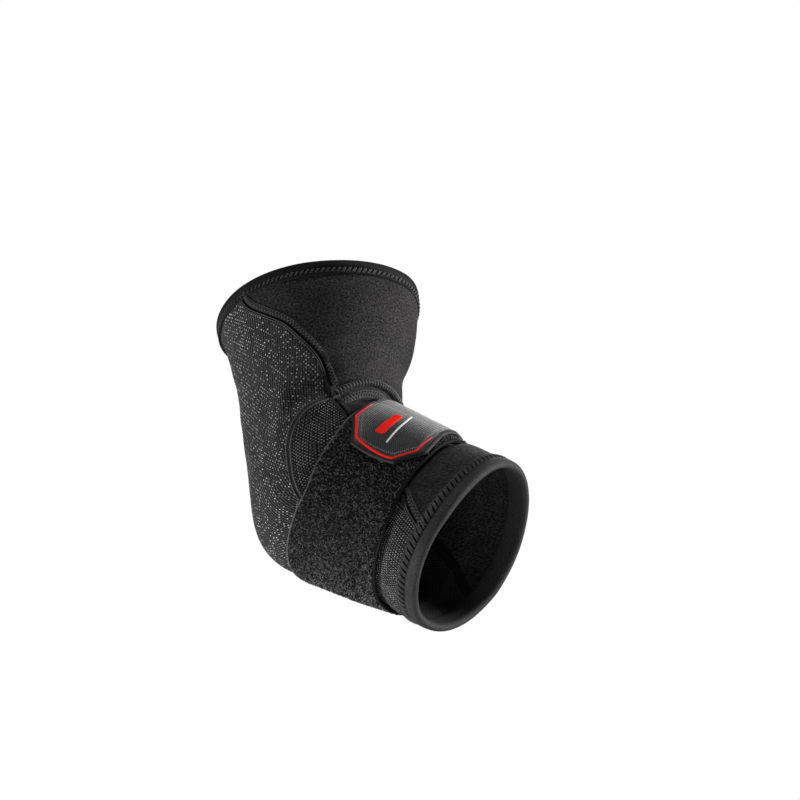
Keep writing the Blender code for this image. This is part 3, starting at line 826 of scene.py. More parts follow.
# Node trees of the materials
class Finish:
    """One material's node tree. Each call adds a node and gives back its output."""

    def __init__(self, name, roughness, sheen=0.0, sheen_roughness=0.5, specular=0.5):
        self.material = bpy.data.materials.new(name)
        self.material.use_nodes = True
        self.tree = self.material.node_tree
        self.skin = self.tree.nodes["Principled BSDF"]
        self.skin.inputs["Roughness"].default_value = roughness
        self.skin.inputs["Sheen Weight"].default_value = sheen
        self.skin.inputs["Sheen Roughness"].default_value = sheen_roughness
        self.skin.inputs["Specular IOR Level"].default_value = specular

    def add(self, kind, inputs, output=0, **settings):
        """A node with its settings. Its inputs, by name or number, are values or other nodes' outputs."""
        node = self.tree.nodes.new("ShaderNode" + kind)
        for name, value in settings.items():
            setattr(node, name, value)
        for place, value in inputs.items():
            if isinstance(value, bpy.types.NodeSocket):
                self.tree.links.new(value, node.inputs[place])
            else:
                node.inputs[place].default_value = value
        return node.outputs[output]

    def math(self, operation, *values):
        """The named operation of one or more values."""
        return self.add("Math", dict(enumerate(values)), operation=operation)

    def times(self, first, second):
        """Product of two values."""
        return self.math("MULTIPLY", first, second)

    def scaled(self, value, factor, plus):
        """The value times factor, plus a constant or another value."""
        return self.math("MULTIPLY_ADD", value, factor, plus)

    def triangle(self, value):
        """Triangle wave of a value: 1 at whole numbers and 0 half way between them."""
        share = self.times(self.math("FRACT", value), 2.0)
        return self.math("ABSOLUTE", self.math("SUBTRACT", share, 1.0))

    def spread(self, value, low, high, to_low, to_high):
        """A value's range from low to high carried evenly to another range."""
        return self.add("MapRange", {0: value, 1: low, 2: high, 3: to_low, 4: to_high})

    def step(self, value, low, high, to_low=0.0, to_high=1.0):
        """Smooth step of a value from low to high."""
        inputs = {0: value, 1: low, 2: high, 3: to_low, 4: to_high}
        return self.add("MapRange", inputs, interpolation_type="SMOOTHSTEP")

    def cloth(self):
        """Cloth coordinates u and v, in metres."""
        return self.add("UVMap", {}, uv_map="cloth")

    def tone(self):
        """The piece's own tone attribute."""
        return self.add("Attribute", {}, output=2, attribute_name="tone")

    def parts(self, vector):
        """First and second number of a vector."""
        node = self.tree.nodes.new("ShaderNodeSeparateXYZ")
        self.tree.links.new(vector, node.inputs[0])
        return node.outputs[0], node.outputs[1]

    def noise(self, vector, size, detail=2.0, rough=0.5):
        """Noise whose grain is about the given size in metres."""
        inputs = {"Vector": vector, "Scale": 1 / size, "Detail": detail, "Roughness": rough}
        return self.add("TexNoise", inputs)

    def mix(self, share, first, second, clamped=True):
        """Mix of two colours. An unclamped share goes on past the second one."""
        inputs = {0: share, 6: first, 7: second}
        return self.add("Mix", inputs, output=2, data_type="RGBA", clamp_factor=clamped)

    def tinted(self, level, color):
        """The colour times a level that may pass 1."""
        return self.mix(level, (0, 0, 0, 1), color, clamped=False)

    def shade(self, color):
        """The finish's own colour."""
        self.tree.links.new(color, self.skin.inputs["Base Color"])

    def relief(self, height, depth, strength=1.0):
        """Bump whose full height is depth metres."""
        bump = self.add("Bump", {"Height": height, "Distance": depth, "Strength": strength})
        self.tree.links.new(bump, self.skin.inputs["Normal"])


def grey(value, warm=0.0):
    """Nearly neutral colour, a little purple above a warm of 0."""
    return (value * (1 + 0.05 * warm), value * (1 - 0.05 * warm), value * (1 + 0.03 * warm), 1.0)


def smooth_cloth(name, tone):
    """Brushed smooth cloth: fine nap, and pinholes with painted shade in them on a slightly loose lattice."""
    finish = Finish(name, roughness=0.70, sheen=0.03, sheen_roughness=0.35, specular=0.05)
    cloth = finish.cloth()
    nap = finish.noise(cloth, 0.0011, 2.0, 0.6)
    cloud = finish.noise(cloth, 0.014, 3.0, 0.6)
    lattice = {"Vector": cloth, "Scale": 1 / 0.0024, "Randomness": 0.55}
    hole = finish.add("TexVoronoi", lattice, voronoi_dimensions="2D")
    open_share = finish.step(hole, 0.06, 0.17, 1.0, 0.0)
    speck = finish.spread(nap, 0.32, 0.68, 0.0, 2.0)
    level = finish.times(speck, finish.spread(cloud, 0.3, 0.7, 0.75, 1.25))
    base = finish.tinted(level, grey(tone, 0.6))
    # Painted shade: the pinholes are painted darker than the cloth
    finish.shade(finish.mix(finish.times(open_share, 0.8), base, grey(tone * 0.12)))
    height = finish.math("SUBTRACT", finish.times(nap, 0.7), finish.times(open_share, 0.5))
    finish.relief(height, 0.00055)
    return finish.material


def knit_cloth(name, tone, rib, course, dot, slant, bright, bare):
    """Ribbed knit: chevron stitches on ribs, and light floats on a diagonal lattice with uneven brightness.

    rib, course and dot are the steps of its ribs, courses and lattice, in metres, and slant is how far the
    ribs lean. bare is about the share of the lattice left without a float. Floats show where the tone is 1.
    """
    finish = Finish(name, roughness=0.80, sheen=0.02, sheen_roughness=0.5, specular=0.03)
    cloth = finish.cloth()
    u, v = finish.parts(cloth)
    u = finish.math("ADD", u, finish.times(v, slant))
    across = finish.triangle(finish.times(u, 1 / rib))
    stitch = finish.triangle(finish.math("ADD", finish.times(v, 1 / course), finish.times(across, 0.55)))
    ribs = finish.math("SUBTRACT", 1.0, finish.math("POWER", across, 2.0))
    courses = finish.math("SUBTRACT", 1.0, finish.math("POWER", stitch, 2.0))
    knit = finish.math("ADD", finish.times(ribs, 0.65), finish.times(courses, 0.35))
    first = finish.times(finish.math("ADD", u, v), 1 / dot)
    second = finish.times(finish.math("SUBTRACT", u, v), 1 / dot)
    spot = finish.add("CombineXYZ", {0: finish.math("FLOOR", first), 1: finish.math("FLOOR", second)})
    chance = finish.add("TexWhiteNoise", {"Vector": spot}, noise_dimensions="2D")
    off_first = finish.math("SUBTRACT", finish.math("FRACT", first), 0.5)
    off_second = finish.math("SUBTRACT", finish.math("FRACT", second), 0.5)
    away = finish.math("ADD", finish.math("POWER", off_first, 2.0), finish.math("POWER", off_second, 2.0))
    float_share = finish.step(away, 0.012, 0.060, 1.0, 0.0)
    patchy = finish.step(finish.noise(cloth, 0.007, 2.0), 0.36, 0.64, 0.35, 0.9)
    lit = finish.times(finish.step(chance, bare, bare + 0.75), patchy)
    light = finish.times(finish.times(float_share, lit), finish.tone())
    fuzz = finish.noise(cloth, 0.0005, 3.0, 0.7)
    cloud = finish.spread(finish.noise(cloth, 0.020, 3.0, 0.6), 0.3, 0.7, 0.8, 1.2)
    level = finish.times(finish.scaled(finish.math("POWER", knit, 3.0), 2.8, 0.05), cloud)
    level = finish.times(level, finish.scaled(fuzz, 0.9, 0.55))
    finish.shade(finish.mix(light, finish.tinted(level, grey(tone, 0.3)), grey(bright)))
    finish.relief(finish.math("ADD", knit, finish.times(light, 0.8)), 0.00045)
    return finish.material


def bound_cloth(name, tone):
    """Matte binding tape: close diagonal ribs and a faint nap, with painted shade where its tone is 1."""
    finish = Finish(name, roughness=0.60, sheen=0.01, sheen_roughness=0.5, specular=0.06)
    cloth = finish.cloth()
    u, v = finish.parts(cloth)
    rib = finish.math("SINE", finish.times(finish.math("ADD", u, v), 2 * np.pi / 0.0007))
    nap = finish.noise(cloth, 0.0008, 3.0, 0.65)
    cloud = finish.noise(cloth, 0.012, 2.0)
    level = finish.times(finish.spread(nap, 0.3, 0.7, 0.3, 1.6), finish.scaled(cloud, 0.6, 0.75))
    # Painted shade: the tone darkens the hems' stitch groove
    level = finish.times(level, finish.scaled(finish.tone(), -0.85, 1.0))
    finish.shade(finish.tinted(level, grey(tone, 0.3)))
    finish.relief(finish.scaled(rib, 0.25, nap), 0.00014, 0.8)
    return finish.material


def thread_finish(name, tone):
    """Sewing thread: plies that turn round it, with a painted highlight on their crowns and painted shade
    between them.
    """
    finish = Finish(name, roughness=0.62, sheen=0.08, sheen_roughness=0.4, specular=0.25)
    cloth = finish.cloth()
    u, v = finish.parts(cloth)
    turn = finish.math("ADD", finish.times(u, 2 * np.pi / 0.0006), finish.times(v, 2 * np.pi / 0.0011))
    ply = finish.scaled(finish.math("SINE", turn), 0.5, 0.5)
    wear = finish.noise(cloth, 0.004, 2.0)
    # Painted highlight and shade: the plies' colour follows their relief, light on the crowns
    level = finish.times(finish.scaled(ply, 0.8, 0.5), finish.scaled(wear, 1.0, 0.5))
    finish.shade(finish.tinted(level, grey(tone, 0.2)))
    finish.relief(ply, 0.00006, 0.8)
    return finish.material


def pile_finish(name, low, high):
    """Loop pile: dark yarn, some loops lighter, by each loop's own tone."""
    finish = Finish(name, roughness=0.68, sheen=0.02, sheen_roughness=0.4, specular=0.1)
    nap = finish.noise(finish.cloth(), 0.0006, 3.0, 0.7)
    level = finish.times(finish.math("POWER", finish.tone(), 2.4), finish.scaled(nap, 0.8, 0.6))
    finish.shade(finish.mix(level, grey(low), grey(high)))
    finish.relief(nap, 0.0003, 0.8)
    return finish.material


def twill_finish(name, dark, light):
    """Tab's face: twill lines, from dark at its end's lower corner to light at its upper edge, partly print
    and partly painted light and shade.
    """
    finish = Finish(name, roughness=0.60, sheen=0.02, sheen_roughness=0.4, specular=0.12)
    cloth = finish.cloth()
    u, v = finish.parts(cloth)
    slant = finish.times(finish.math("ADD", u, finish.times(v, 0.6)), 2 * np.pi / 0.0020)
    crossed = finish.times(finish.math("SUBTRACT", u, v), 2 * np.pi / 0.0020)
    grain = finish.times(finish.math("SINE", slant), finish.math("SINE", crossed))
    nap = finish.noise(cloth, 0.0008, 3.0, 0.7)
    speck = finish.spread(nap, 0.35, 0.65, 0.2, 1.6)
    weave = finish.times(finish.math("MAXIMUM", finish.scaled(grain, 1.2, 0.8), 0.1), speck)
    # The tone carries the tab's print together with its painted light and shade
    level = finish.times(finish.scaled(finish.tone(), 0.95, 0.10), weave)
    finish.shade(finish.mix(level, grey(dark), grey(light)))
    finish.relief(finish.scaled(grain, 0.5, nap), 0.00012, 0.7)
    return finish.material


def print_finish(name, color):
    """Raised print on the tab: smooth, with the twill's grain faintly through it."""
    finish = Finish(name, roughness=0.60, specular=0.06)
    grain = finish.noise(finish.cloth(), 0.0006, 3.0, 0.6)
    finish.shade(finish.mix(finish.scaled(grain, 0.5, 0.72), (0, 0, 0, 1), color))
    finish.relief(grain, 0.00008, 0.6)
    return finish.material


SMOOTH = smooth_cloth("smooth_cloth", 0.019)
SMOOTH_LOW = smooth_cloth("smooth_cloth_forearm", 0.020)
KNIT = knit_cloth(
    "knit_cloth", tone=0.025, rib=0.0014, course=0.0013, dot=0.0025, slant=0.0, bright=0.90, bare=0.30
)
KNIT_LOW = knit_cloth(
    "knit_cloth_forearm", tone=0.015, rib=0.0015, course=0.0014, dot=0.0020, slant=-0.35, bright=0.52,
    bare=-0.20,
)
BINDING = bound_cloth("hem_cloth", 0.007)
# Painted light: the forearm binding is a lighter copy of the same tape, for the light falling on the forearm
# hem
BINDING_FOREARM_LIT = bound_cloth("hem_cloth_forearm_lit", 0.028)
SEAM = bound_cloth("seam_cloth", 0.008)
ELBOW_CLOTH = bound_cloth("elbow_seam_cloth", 0.030)
STITCH = thread_finish("seam_thread", 0.055)
WHIP_THREAD = thread_finish("whip_thread", 0.105)
HEM_THREAD = thread_finish("hem_thread", 0.050)
TAB_THREAD = thread_finish("tab_thread", 0.008)
PIPING = bound_cloth("strap_piping", 0.085)
EDGE = bound_cloth("strap_edge", 0.006)
PILE = pile_finish("strap_loop_cloth", low=0.002, high=0.210)
TWILL = twill_finish("tab_twill", dark=0.009, light=0.28)
RED = print_finish("tab_trim_red", (0.92, 0.014, 0.008, 1.0))
WHITE = print_finish("tab_line_white", (0.80, 0.80, 0.80, 1.0))

# Lines that the pieces share
side = side_line()
crook = crook_line()
elbow = elbow_line()
upper_front = rim_line("upper", UPPER_HEM * TUCK, -180.0)
upper_back = rim_line("upper", UPPER_HEM * TUCK, 0.0)
lower_front = rim_line("forearm", -FOREARM_HEM * TUCK, -180.0)
lower_back = rim_line("forearm", -FOREARM_HEM * TUCK, 0.0)
under_upper = UPPER_HEM * (1 - TUCK) - 0.0004
under_forearm = FOREARM_HEM * (1 - TUCK) - 0.0004

# Panels
smooth_upper, smooth_upper_size = panel(
    "smooth_upper_cloth",
    cell(upper_front, crook, mirrored(side), side, crowded(110), crowded(120)),
    under_upper, UNDER_ROLL,
    SMOOTH, "smooth_cloth", "smooth_upper_panel",
)
smooth_forearm, smooth_forearm_size = panel(
    "smooth_forearm_cloth",
    cell(crook, lower_front, mirrored(side), side, crowded(100), crowded(100)),
    UNDER_ROLL, under_forearm,
    SMOOTH_LOW, "smooth_cloth", "smooth_forearm_panel",
)
knit_upper, knit_upper_size = panel(
    "knit_upper_cloth",
    cell(upper_back, elbow, side, round_back(side), crowded(140), crowded(140)),
    under_upper, HALF_DOUBLE,
    KNIT, "knit_cloth", "knit_upper_panel",
)
knit_forearm, knit_forearm_size = panel(
    "knit_forearm_cloth",
    cell(elbow, lower_back, side, round_back(side), crowded(110), crowded(150)),
    HALF_DOUBLE, under_forearm,
    KNIT_LOW, "knit_cloth", "knit_forearm_panel",
)


# Bound hems
def hem(name, rim, width, finish, node):
    """Binding folded over a rim: the hem's profile carried once round. A width below 0 runs up the sleeve.

    Its tone puts painted shade in the groove that the stitches lie in: exp of minus the square of the
    distance from it.
    """
    across = column(HEM_PROFILE, HEM_COLUMNS, "across")
    height = column(HEM_PROFILE, HEM_COLUMNS, "height") * CLOTH
    offsets, heights = closed_profile(width * (1 - across), height, 36)
    line, run = paced(rim_line(rim, 0.0, -180.0), SWEEP_STEP)
    # Painted shade in the stitch groove
    painted_groove_shade = np.exp(-(((1 - offsets / width) - 0.28) / 0.17) ** 2) * (heights > -0.5 * CLOTH)
    shape = Shape()
    swept(shape, line, run, offsets, heights, loop=True, tone=painted_groove_shade)
    return shape.piece(name, finish, "hem_cloth", node)


upper_binding = hem("upper_binding", "upper", UPPER_HEM, BINDING, "upper_hem")
forearm_binding = hem("forearm_binding", "forearm", -FOREARM_HEM, BINDING_FOREARM_LIT, "forearm_hem")


def overlock(shape, line, step, middle, swing, shift, low, rise, radius):
    """Slanted stitches across a line, one to each step.

    A stitch's point at t, from -1 to 1, lies swing times t aside, OVERLOCK_SLANT times t of a step ahead, and
    rise times the square root of cos (90 t) above its low ends.
    """
    even, run = paced(line, step)
    number = np.arange(len(run))
    along, angle = [], []
    t = np.linspace(-1, 1, 8)
    for share in t:
        aside = shifted(even, middle + swing * share)
        at = number[:-1] + 0.5 + shift + OVERLOCK_SLANT * share
        along.append(np.interp(at, number, aside[0]))
        angle.append(np.interp(at, number, aside[1]))
    along, angle = np.stack(along, axis=-1), np.stack(angle, axis=-1)
    arch = np.sqrt(np.clip(np.cos(t * np.pi / 2), 0, 1))
    path = sleeve_point(along, angle, low + rise * arch)
    thread(shape, path, slopes_at(along, angle)[2], radius)


def hem_stitches(name, rim, width, share, swing, step, shifts):
    """Stitches on a hem: slanted groups of threads over the groove, and a needle line beside the panel."""
    shape = Shape()
    line = rim_line(rim, 0.0, -180.0)
    middle = width * (1 - share)
    for shift in shifts:
        overlock(shape, line, step, middle, swing, shift, low=0.00022, rise=0.00062, radius=THREAD * 1.35)
    running(shape, line, step * 0.5, width * 0.955, CLOTH * 0.18, THREAD)
    return shape.piece(name, HEM_THREAD, "seam_thread")


upper_hem_stitches = hem_stitches(
    "upper_hem_stitches", "upper", UPPER_HEM,
    share=0.28, swing=0.0016, step=HEM_STITCH * 0.85, shifts=(-0.15, 0.15),
)
forearm_hem_stitches = hem_stitches(
    "forearm_hem_stitches", "forearm", -FOREARM_HEM,
    share=0.27, swing=0.0021, step=HEM_STITCH, shifts=(-0.22, 0.0, 0.22),
)

def seam_profile(rows, count):
    """Offsets and heights of a seam's rounded profile."""
    offsets = column(rows, FLAT_SEAM_COLUMNS, "offset")
    return closed_profile(offsets, column(rows, FLAT_SEAM_COLUMNS, "height"), count)


# Flat seams down both sides
flat_offsets, flat_heights = seam_profile(FLAT_SEAM, 56)


def flat_seam(side_name, line, front_sign, node):
    """Flat seam and its stitching. front_sign is 1 where offsets towards the crook are positive."""
    whole = between(line, upper_front, lower_front)
    even, run = paced(whole, SWEEP_STEP)
    shape = Shape()
    offsets, heights = flat_offsets * front_sign, flat_heights
    if front_sign < 0:
        offsets, heights = offsets[::-1], heights[::-1]
    swept(shape, even, run, offsets, heights)
    band = shape.piece(f"{side_name}_seam_band", SEAM, "seam_thread", node)
    stitches = Shape()
    zigzag(
        stitches, whole, FLAT_STITCH,
        middle=1.45e-3 * front_sign, swing=1.05e-3, height=0.62e-3, radius=THREAD * 1.15,
    )
    for offset, height in ((-1.55e-3, 0.46e-3), (-2.55e-3, 0.34e-3), (2.75e-3, 0.30e-3)):
        running(stitches, whole, LINE_STITCH, offset * front_sign, height, THREAD * 1.3, share=0.94)
    sewn = stitches.piece(f"{side_name}_seam_stitches", STITCH, "seam_thread")
    return band, sewn


outer_seam = flat_seam("outer", side, 1, "outer_side_seam")
inner_seam = flat_seam("inner", mirrored(side), -1, "inner_side_seam")

# Double seam round the elbow
double_offsets, double_heights = seam_profile(DOUBLE_SEAM, 44)
elbow_run_line = between(elbow, side, round_back(side))
elbow_even, elbow_run = paced(elbow_run_line, 0.0009)
elbow_shape = Shape()
swept(elbow_shape, elbow_even, elbow_run, double_offsets, double_heights)
elbow_band = elbow_shape.piece("elbow_seam_band", ELBOW_CLOTH, "seam_thread", "elbow_seam")
elbow_sewn_shape = Shape()
for offset in (-1.20e-3, 1.20e-3):
    running(elbow_sewn_shape, elbow_run_line, LINE_STITCH, offset, 0.38e-3, THREAD * 1.1, share=0.85)
elbow_sewn = elbow_sewn_shape.piece("elbow_seam_stitches", WHIP_THREAD, "seam_thread")

# Roll across the crook, whipped over, and three flat rows below it
roll_line = between(crook, mirrored(side), side)
roll_even, roll_run = paced(roll_line, SWEEP_STEP)
roll_turn = np.linspace(0, 2 * np.pi, 20, endpoint=False)
roll_shape = Shape()
roll_offsets = ROLL_RADIUS * np.cos(roll_turn)
roll_heights = ROLL_CENTRE + ROLL_RADIUS * np.sin(roll_turn)
swept(roll_shape, roll_even, roll_run, roll_offsets, roll_heights)
roll = roll_shape.piece("crook_roll", SEAM, "seam_thread", "crook_seam")


def whipped(shape, line, step, centre, radius, thickness):
    """Whip stitches: a helix round the line at the given height, one turn to each step."""
    points_in_step = 12
    even, run = paced(line, step / points_in_step, points_in_step)
    turn = np.arange(len(run)) * 2 * np.pi / points_in_step
    place = shifted(even, radius * np.cos(turn))
    path = sleeve_point(*place, centre + radius * np.sin(turn))
    middle = sleeve_point(*even, centre)
    thread(shape, path[None], unit(path - middle)[None], thickness)


whip_shape = Shape()
whipped(whip_shape, roll_line, WHIP_STITCH, ROLL_CENTRE, ROLL_RADIUS + THREAD * 0.5, THREAD * 1.65)
zigzag(whip_shape, roll_line, FLAT_STITCH, middle=0.0050, swing=0.0011, height=0.00030, radius=THREAD * 1.4)
for offset in (0.0036, 0.0064):
    running(whip_shape, roll_line, LINE_STITCH, offset, 0.00022, THREAD * 1.2, share=0.9)
whip = whip_shape.piece("crook_stitches", WHIP_THREAD, "seam_thread")
knot_shape = Shape()
for knot_line in (side, mirrored(side)):
    number = np.arange(len(knot_line[0]))
    start, end = (np.interp(share * LENGTH, knot_line[0], number) for share in KNOT)
    bar = cut(knot_line, start, end, np.linspace(0, 1, 60))
    whipped(knot_shape, bar, KNOT_STITCH, centre=0.0003, radius=0.0015, thickness=THREAD * 1.4)
knots = knot_shape.piece("seam_end_stitches", HEM_THREAD, "seam_thread")


def edge_round(gap, width):
    """Quarter circle over the width beside an edge, 0 on the edge and 1 from the width on."""
    return np.sqrt(np.clip(1 - (1 - np.clip(gap / width, 0, 1)) ** 2, 0, 1))


# Strap: the band, its rolled edges and its loops
strap_angle = np.linspace(STRAP_SPLIT, 360.0 - STRAP_SPLIT, STRAP_STEPS[1] + 1)
strap_share = crowded(STRAP_STEPS[0], 0.6)
share_grid, angle_grid = np.meshgrid(strap_share, strap_angle, indexing="ij")
strap_flat = strap_point(share_grid, angle_grid, STRAP_SEAT + STRAP_THICK)
strap_across = cloth_run(strap_flat, 0)
strap_round = cloth_run(strap_flat, 1)
strap_edge_gap = np.minimum(strap_across, strap_across[-1:] - strap_across)
strap_round_off = edge_round(strap_edge_gap, BAND_EDGE)
strap_top = STRAP_SEAT + (STRAP_THICK - PILE_BED) * (0.45 + 0.55 * strap_round_off)
strap_lump = RANDOM.normal(0, 1, share_grid.shape) * 0.00012 * strap_round_off
strap_shape = Shape()
strap_shape.shell(
    strap_point(share_grid, angle_grid, strap_top + strap_lump),
    strap_point(share_grid, angle_grid, STRAP_SEAT),
    np.stack([strap_round, strap_across], axis=-1),
    tone=0.12,
)
strap_band = strap_shape.piece("strap_band", PILE, "strap_loop_cloth", "strap")


def strap_piping(name, share, radius, height, material):
    """Rolled edge of the strap: a round cord laid along one of its edges."""
    angle = np.linspace(STRAP_SPLIT, 360.0 - STRAP_SPLIT, 420)
    path, up = strap_place(share, angle, height)
    shape = Shape()
    thread(shape, path[None], up[None], radius, sides=12)
    return shape.piece(name, material, "strap_loop_cloth")


upper_piping = strap_piping(
    "strap_upper_piping", share=0.004, radius=0.00050, height=STRAP_SEAT + 0.00125, material=PIPING
)
lower_piping = strap_piping(
    "strap_lower_piping", share=0.996, radius=0.00070, height=STRAP_SEAT + 0.00105, material=EDGE
)


def tab_edge(angle, name):
    """Share of the strap's width where the tab's edge runs: a mean of the table's nearby values rounds it."""
    rows = column(TAB, TAB_COLUMNS, "angle")
    shares = column(TAB, TAB_COLUMNS, name)
    near = (-1.4, -0.7, 0.0, 0.7, 1.4)
    return np.mean([np.interp(angle + step, rows, shares) for step in near], axis=0)


def loops(name, count, first, last):
    """Loop pile on the strap between two angles: half rings of yarn, turned, leaning and toned at random.

    Foot k of the pile stands at the fractions of FOOT_ACROSS k and FOOT_ROUND k across and round the band,
    which spreads the feet evenly, each moved a little at random. A loop's point at t is its foot plus its way
    times radius cos t, plus the normal times height sin t, plus the side times lean sin t. None stand under
    the tab.
    """
    order = np.arange(count)
    share = 0.022 + 0.956 * ((order * FOOT_ACROSS + RANDOM.uniform(0, 0.016, count)) % 1.0)
    angle = first + (last - first) * ((order * FOOT_ROUND + RANDOM.uniform(0, 0.006, count)) % 1.0)
    signed = (angle + 180.0) % 360.0 - 180.0
    covered = (share > tab_edge(signed, "upper") + 0.03) & (share < tab_edge(signed, "lower") - 0.03)
    covered = covered & (signed > TAB[0][0] + 1) & (signed < TAB[-1][0] - 1)
    share, angle = share[~covered], angle[~covered]
    bed = STRAP_SEAT + STRAP_THICK - PILE_BED
    foot, normal = strap_place(share, angle, bed)
    ahead = unit(strap_point(share, angle + 0.2, bed) - foot)
    heading = RANDOM.uniform(0, 2 * np.pi, share.shape)[:, None]
    way = np.cos(heading) * ahead + np.sin(heading) * np.cross(normal, ahead)
    beside = np.cross(normal, way)
    radius = RANDOM.uniform(*LOOP_RADIUS, share.shape)[:, None, None]
    height = RANDOM.uniform(*LOOP_HEIGHT, share.shape)[:, None, None]
    lean = RANDOM.uniform(*LOOP_LEAN, share.shape)[:, None, None]
    t = np.linspace(0.0, np.pi, 5)[None, :, None]
    path = foot[:, None] + way[:, None] * radius * np.cos(t) + normal[:, None] * height * np.sin(t)
    path = path + beside[:, None] * lean * np.sin(t)
    outward = np.broadcast_to(beside[:, None], path.shape)
    shape = Shape()
    thread(shape, path, outward, YARN, sides=3, tone=RANDOM.uniform(0.1, 1, share.shape))
    return shape.piece(name, PILE, "strap_loop_cloth")


outer_loops = loops("strap_outer_loops", count=10300, first=STRAP_SPLIT, last=180.0)
inner_loops = loops("strap_inner_loops", count=7900, first=180.0, last=360.0 - STRAP_SPLIT)

# Tab: its face is a grid of angle and share, with a distance from the outline for its border
tab_first, tab_last = TAB[0][0], TAB[-1][0]
tab_angle = tab_first + (tab_last - tab_first) * crowded(TAB_STEPS[1], 0.55)
tab_upper = tab_edge(tab_angle, "upper")
tab_lower = tab_edge(tab_angle, "lower")
tab_share = tab_upper + (tab_lower - tab_upper) * crowded(TAB_STEPS[0], 0.72)[:, None]
tab_angles = np.broadcast_to(tab_angle, tab_share.shape)
tab_flat = strap_point(tab_share, tab_angles, TAB_SEAT + TAB_THICK)


def outline_distance(points):
    """Distance of each grid point from the grid's outline, the least over its short straight runs."""
    ring = np.concatenate([points[0, :-1], points[:-1, -1], points[-1, :0:-1], points[:0:-1, 0]])
    start, end = ring, np.roll(ring, -1, axis=0)
    way = end - start
    near = np.full(points.shape[:2], np.inf)
    for a, d in zip(start, way):
        t = np.clip(((points - a) @ d) / max(d @ d, 1e-16), 0, 1)
        near = np.minimum(near, np.linalg.norm(points - a - t[..., None] * d, axis=-1))
    return near


tab_inset = outline_distance(tab_flat)
tab_field = ease((tab_inset - FIELD_INSET) / 0.0006) * FIELD_RISE
tab_height = TAB_SEAT + TAB_THICK * (0.35 + 0.60 * edge_round(tab_inset, TAB_ROUND)) + tab_field
tab_run = cloth_run(tab_flat, 1)
tab_fall = cloth_run(tab_flat, 0)

# Tone of the tab, 0 dark and 1 light: darker to its end and low edge, partly print and partly painted light
# and shade, with the painted light fading where it turns to the inner side; dark on the border round its
# field, and a painted highlight on the line where the field starts
# Partly print, partly painted light and shade: light by the upper edge, dark to the end and low edge
end_share = ease((tab_angles - 20.0) / 36.0)
low_share = ease((tab_share + 0.05) / 0.55)
tab_print_and_light = np.clip(1.0 - end_share * (0.50 + 0.55 * low_share), 0.0, 1.0)
# Painted light fades out where the tab turns to the inner side
tab_print_and_light = tab_print_and_light * (0.18 + 0.82 * ease((tab_angles + 4.0) / 26.0))
tab_border = 1 - ease((tab_inset - 0.0014) / 0.0008)
border_share = 0.2 + 0.8 * np.maximum(end_share, low_share)
tab_print_and_light = tab_print_and_light * (1 - tab_border * border_share) - 0.1 * tab_border * end_share
# Painted highlight: a light line along the raised field's edge
tab_print_and_light = tab_print_and_light + 0.45 * end_share * np.exp(-((tab_inset - 0.0052) / 0.0004) ** 2)
tab_shape = Shape()
tab_shape.shell(
    strap_point(tab_share, tab_angles, tab_height),
    strap_point(tab_share, tab_angles, TAB_SEAT),
    np.stack([tab_run, tab_fall], axis=-1),
    tone=tab_print_and_light,
)
tab = tab_shape.piece("tab_face", TWILL, "tab_twill", "strap_tab")


def ribbon(shape, angle, share, width, low, high):
    """Raised flat line on the tab: a low rounded profile carried along a path, its width given at each point.

    The profile's point at a turn is half the width times its cosine aside, and the rise from low to high
    times the root of its sine, with the sine's sign, upwards.
    """
    middle, up = strap_place(share, angle, low)
    aside = unit(np.cross(np.gradient(middle, axis=0), up))
    turn = np.linspace(0, 2 * np.pi, 12, endpoint=False)
    wide = (np.cos(turn)[None] * width[:, None] / 2)[..., None] * aside[:, None]
    tall = (np.sign(np.sin(turn)) * np.abs(np.sin(turn)) ** 0.5 * (high - low))[None, :, None] * up[:, None]
    points = middle[:, None] + tall - wide
    run = cloth_run(middle[None], 1)[0]
    places = np.stack(np.broadcast_arrays(run[:, None], np.linspace(0, 0.004, 13)[None]), axis=-1)
    shape.grids(points[None], places[None], ring=True, capped=True)


TRIM_TOP = TAB_SEAT + TAB_THICK * 0.95
FIELD_TOP = TRIM_TOP + FIELD_RISE
trim_places = np.linspace(0, len(TRIM) - 1, 241)
trim_angle = np.interp(trim_places, np.arange(len(TRIM)), column(TRIM, TRIM_COLUMNS, "angle"))
trim_share = np.interp(trim_places, np.arange(len(TRIM)), column(TRIM, TRIM_COLUMNS, "share"))
smoothing = np.ones(9) / 9
trim_angle = np.convolve(np.pad(trim_angle, 4, mode="edge"), smoothing, mode="valid")
trim_share = np.convolve(np.pad(trim_share, 4, mode="edge"), smoothing, mode="valid")
trim_taper = np.clip(np.minimum(trim_places, len(TRIM) - 1 - trim_places) / 0.9, 0.06, 1)
trim_shape = Shape()
ribbon(trim_shape, trim_angle, trim_share, TRIM_WIDTH * trim_taper, TRIM_TOP, TRIM_TOP + TRIM_RISE)
trim = trim_shape.piece("tab_trim_line", RED, "tab_trim_red", "tab_trim")


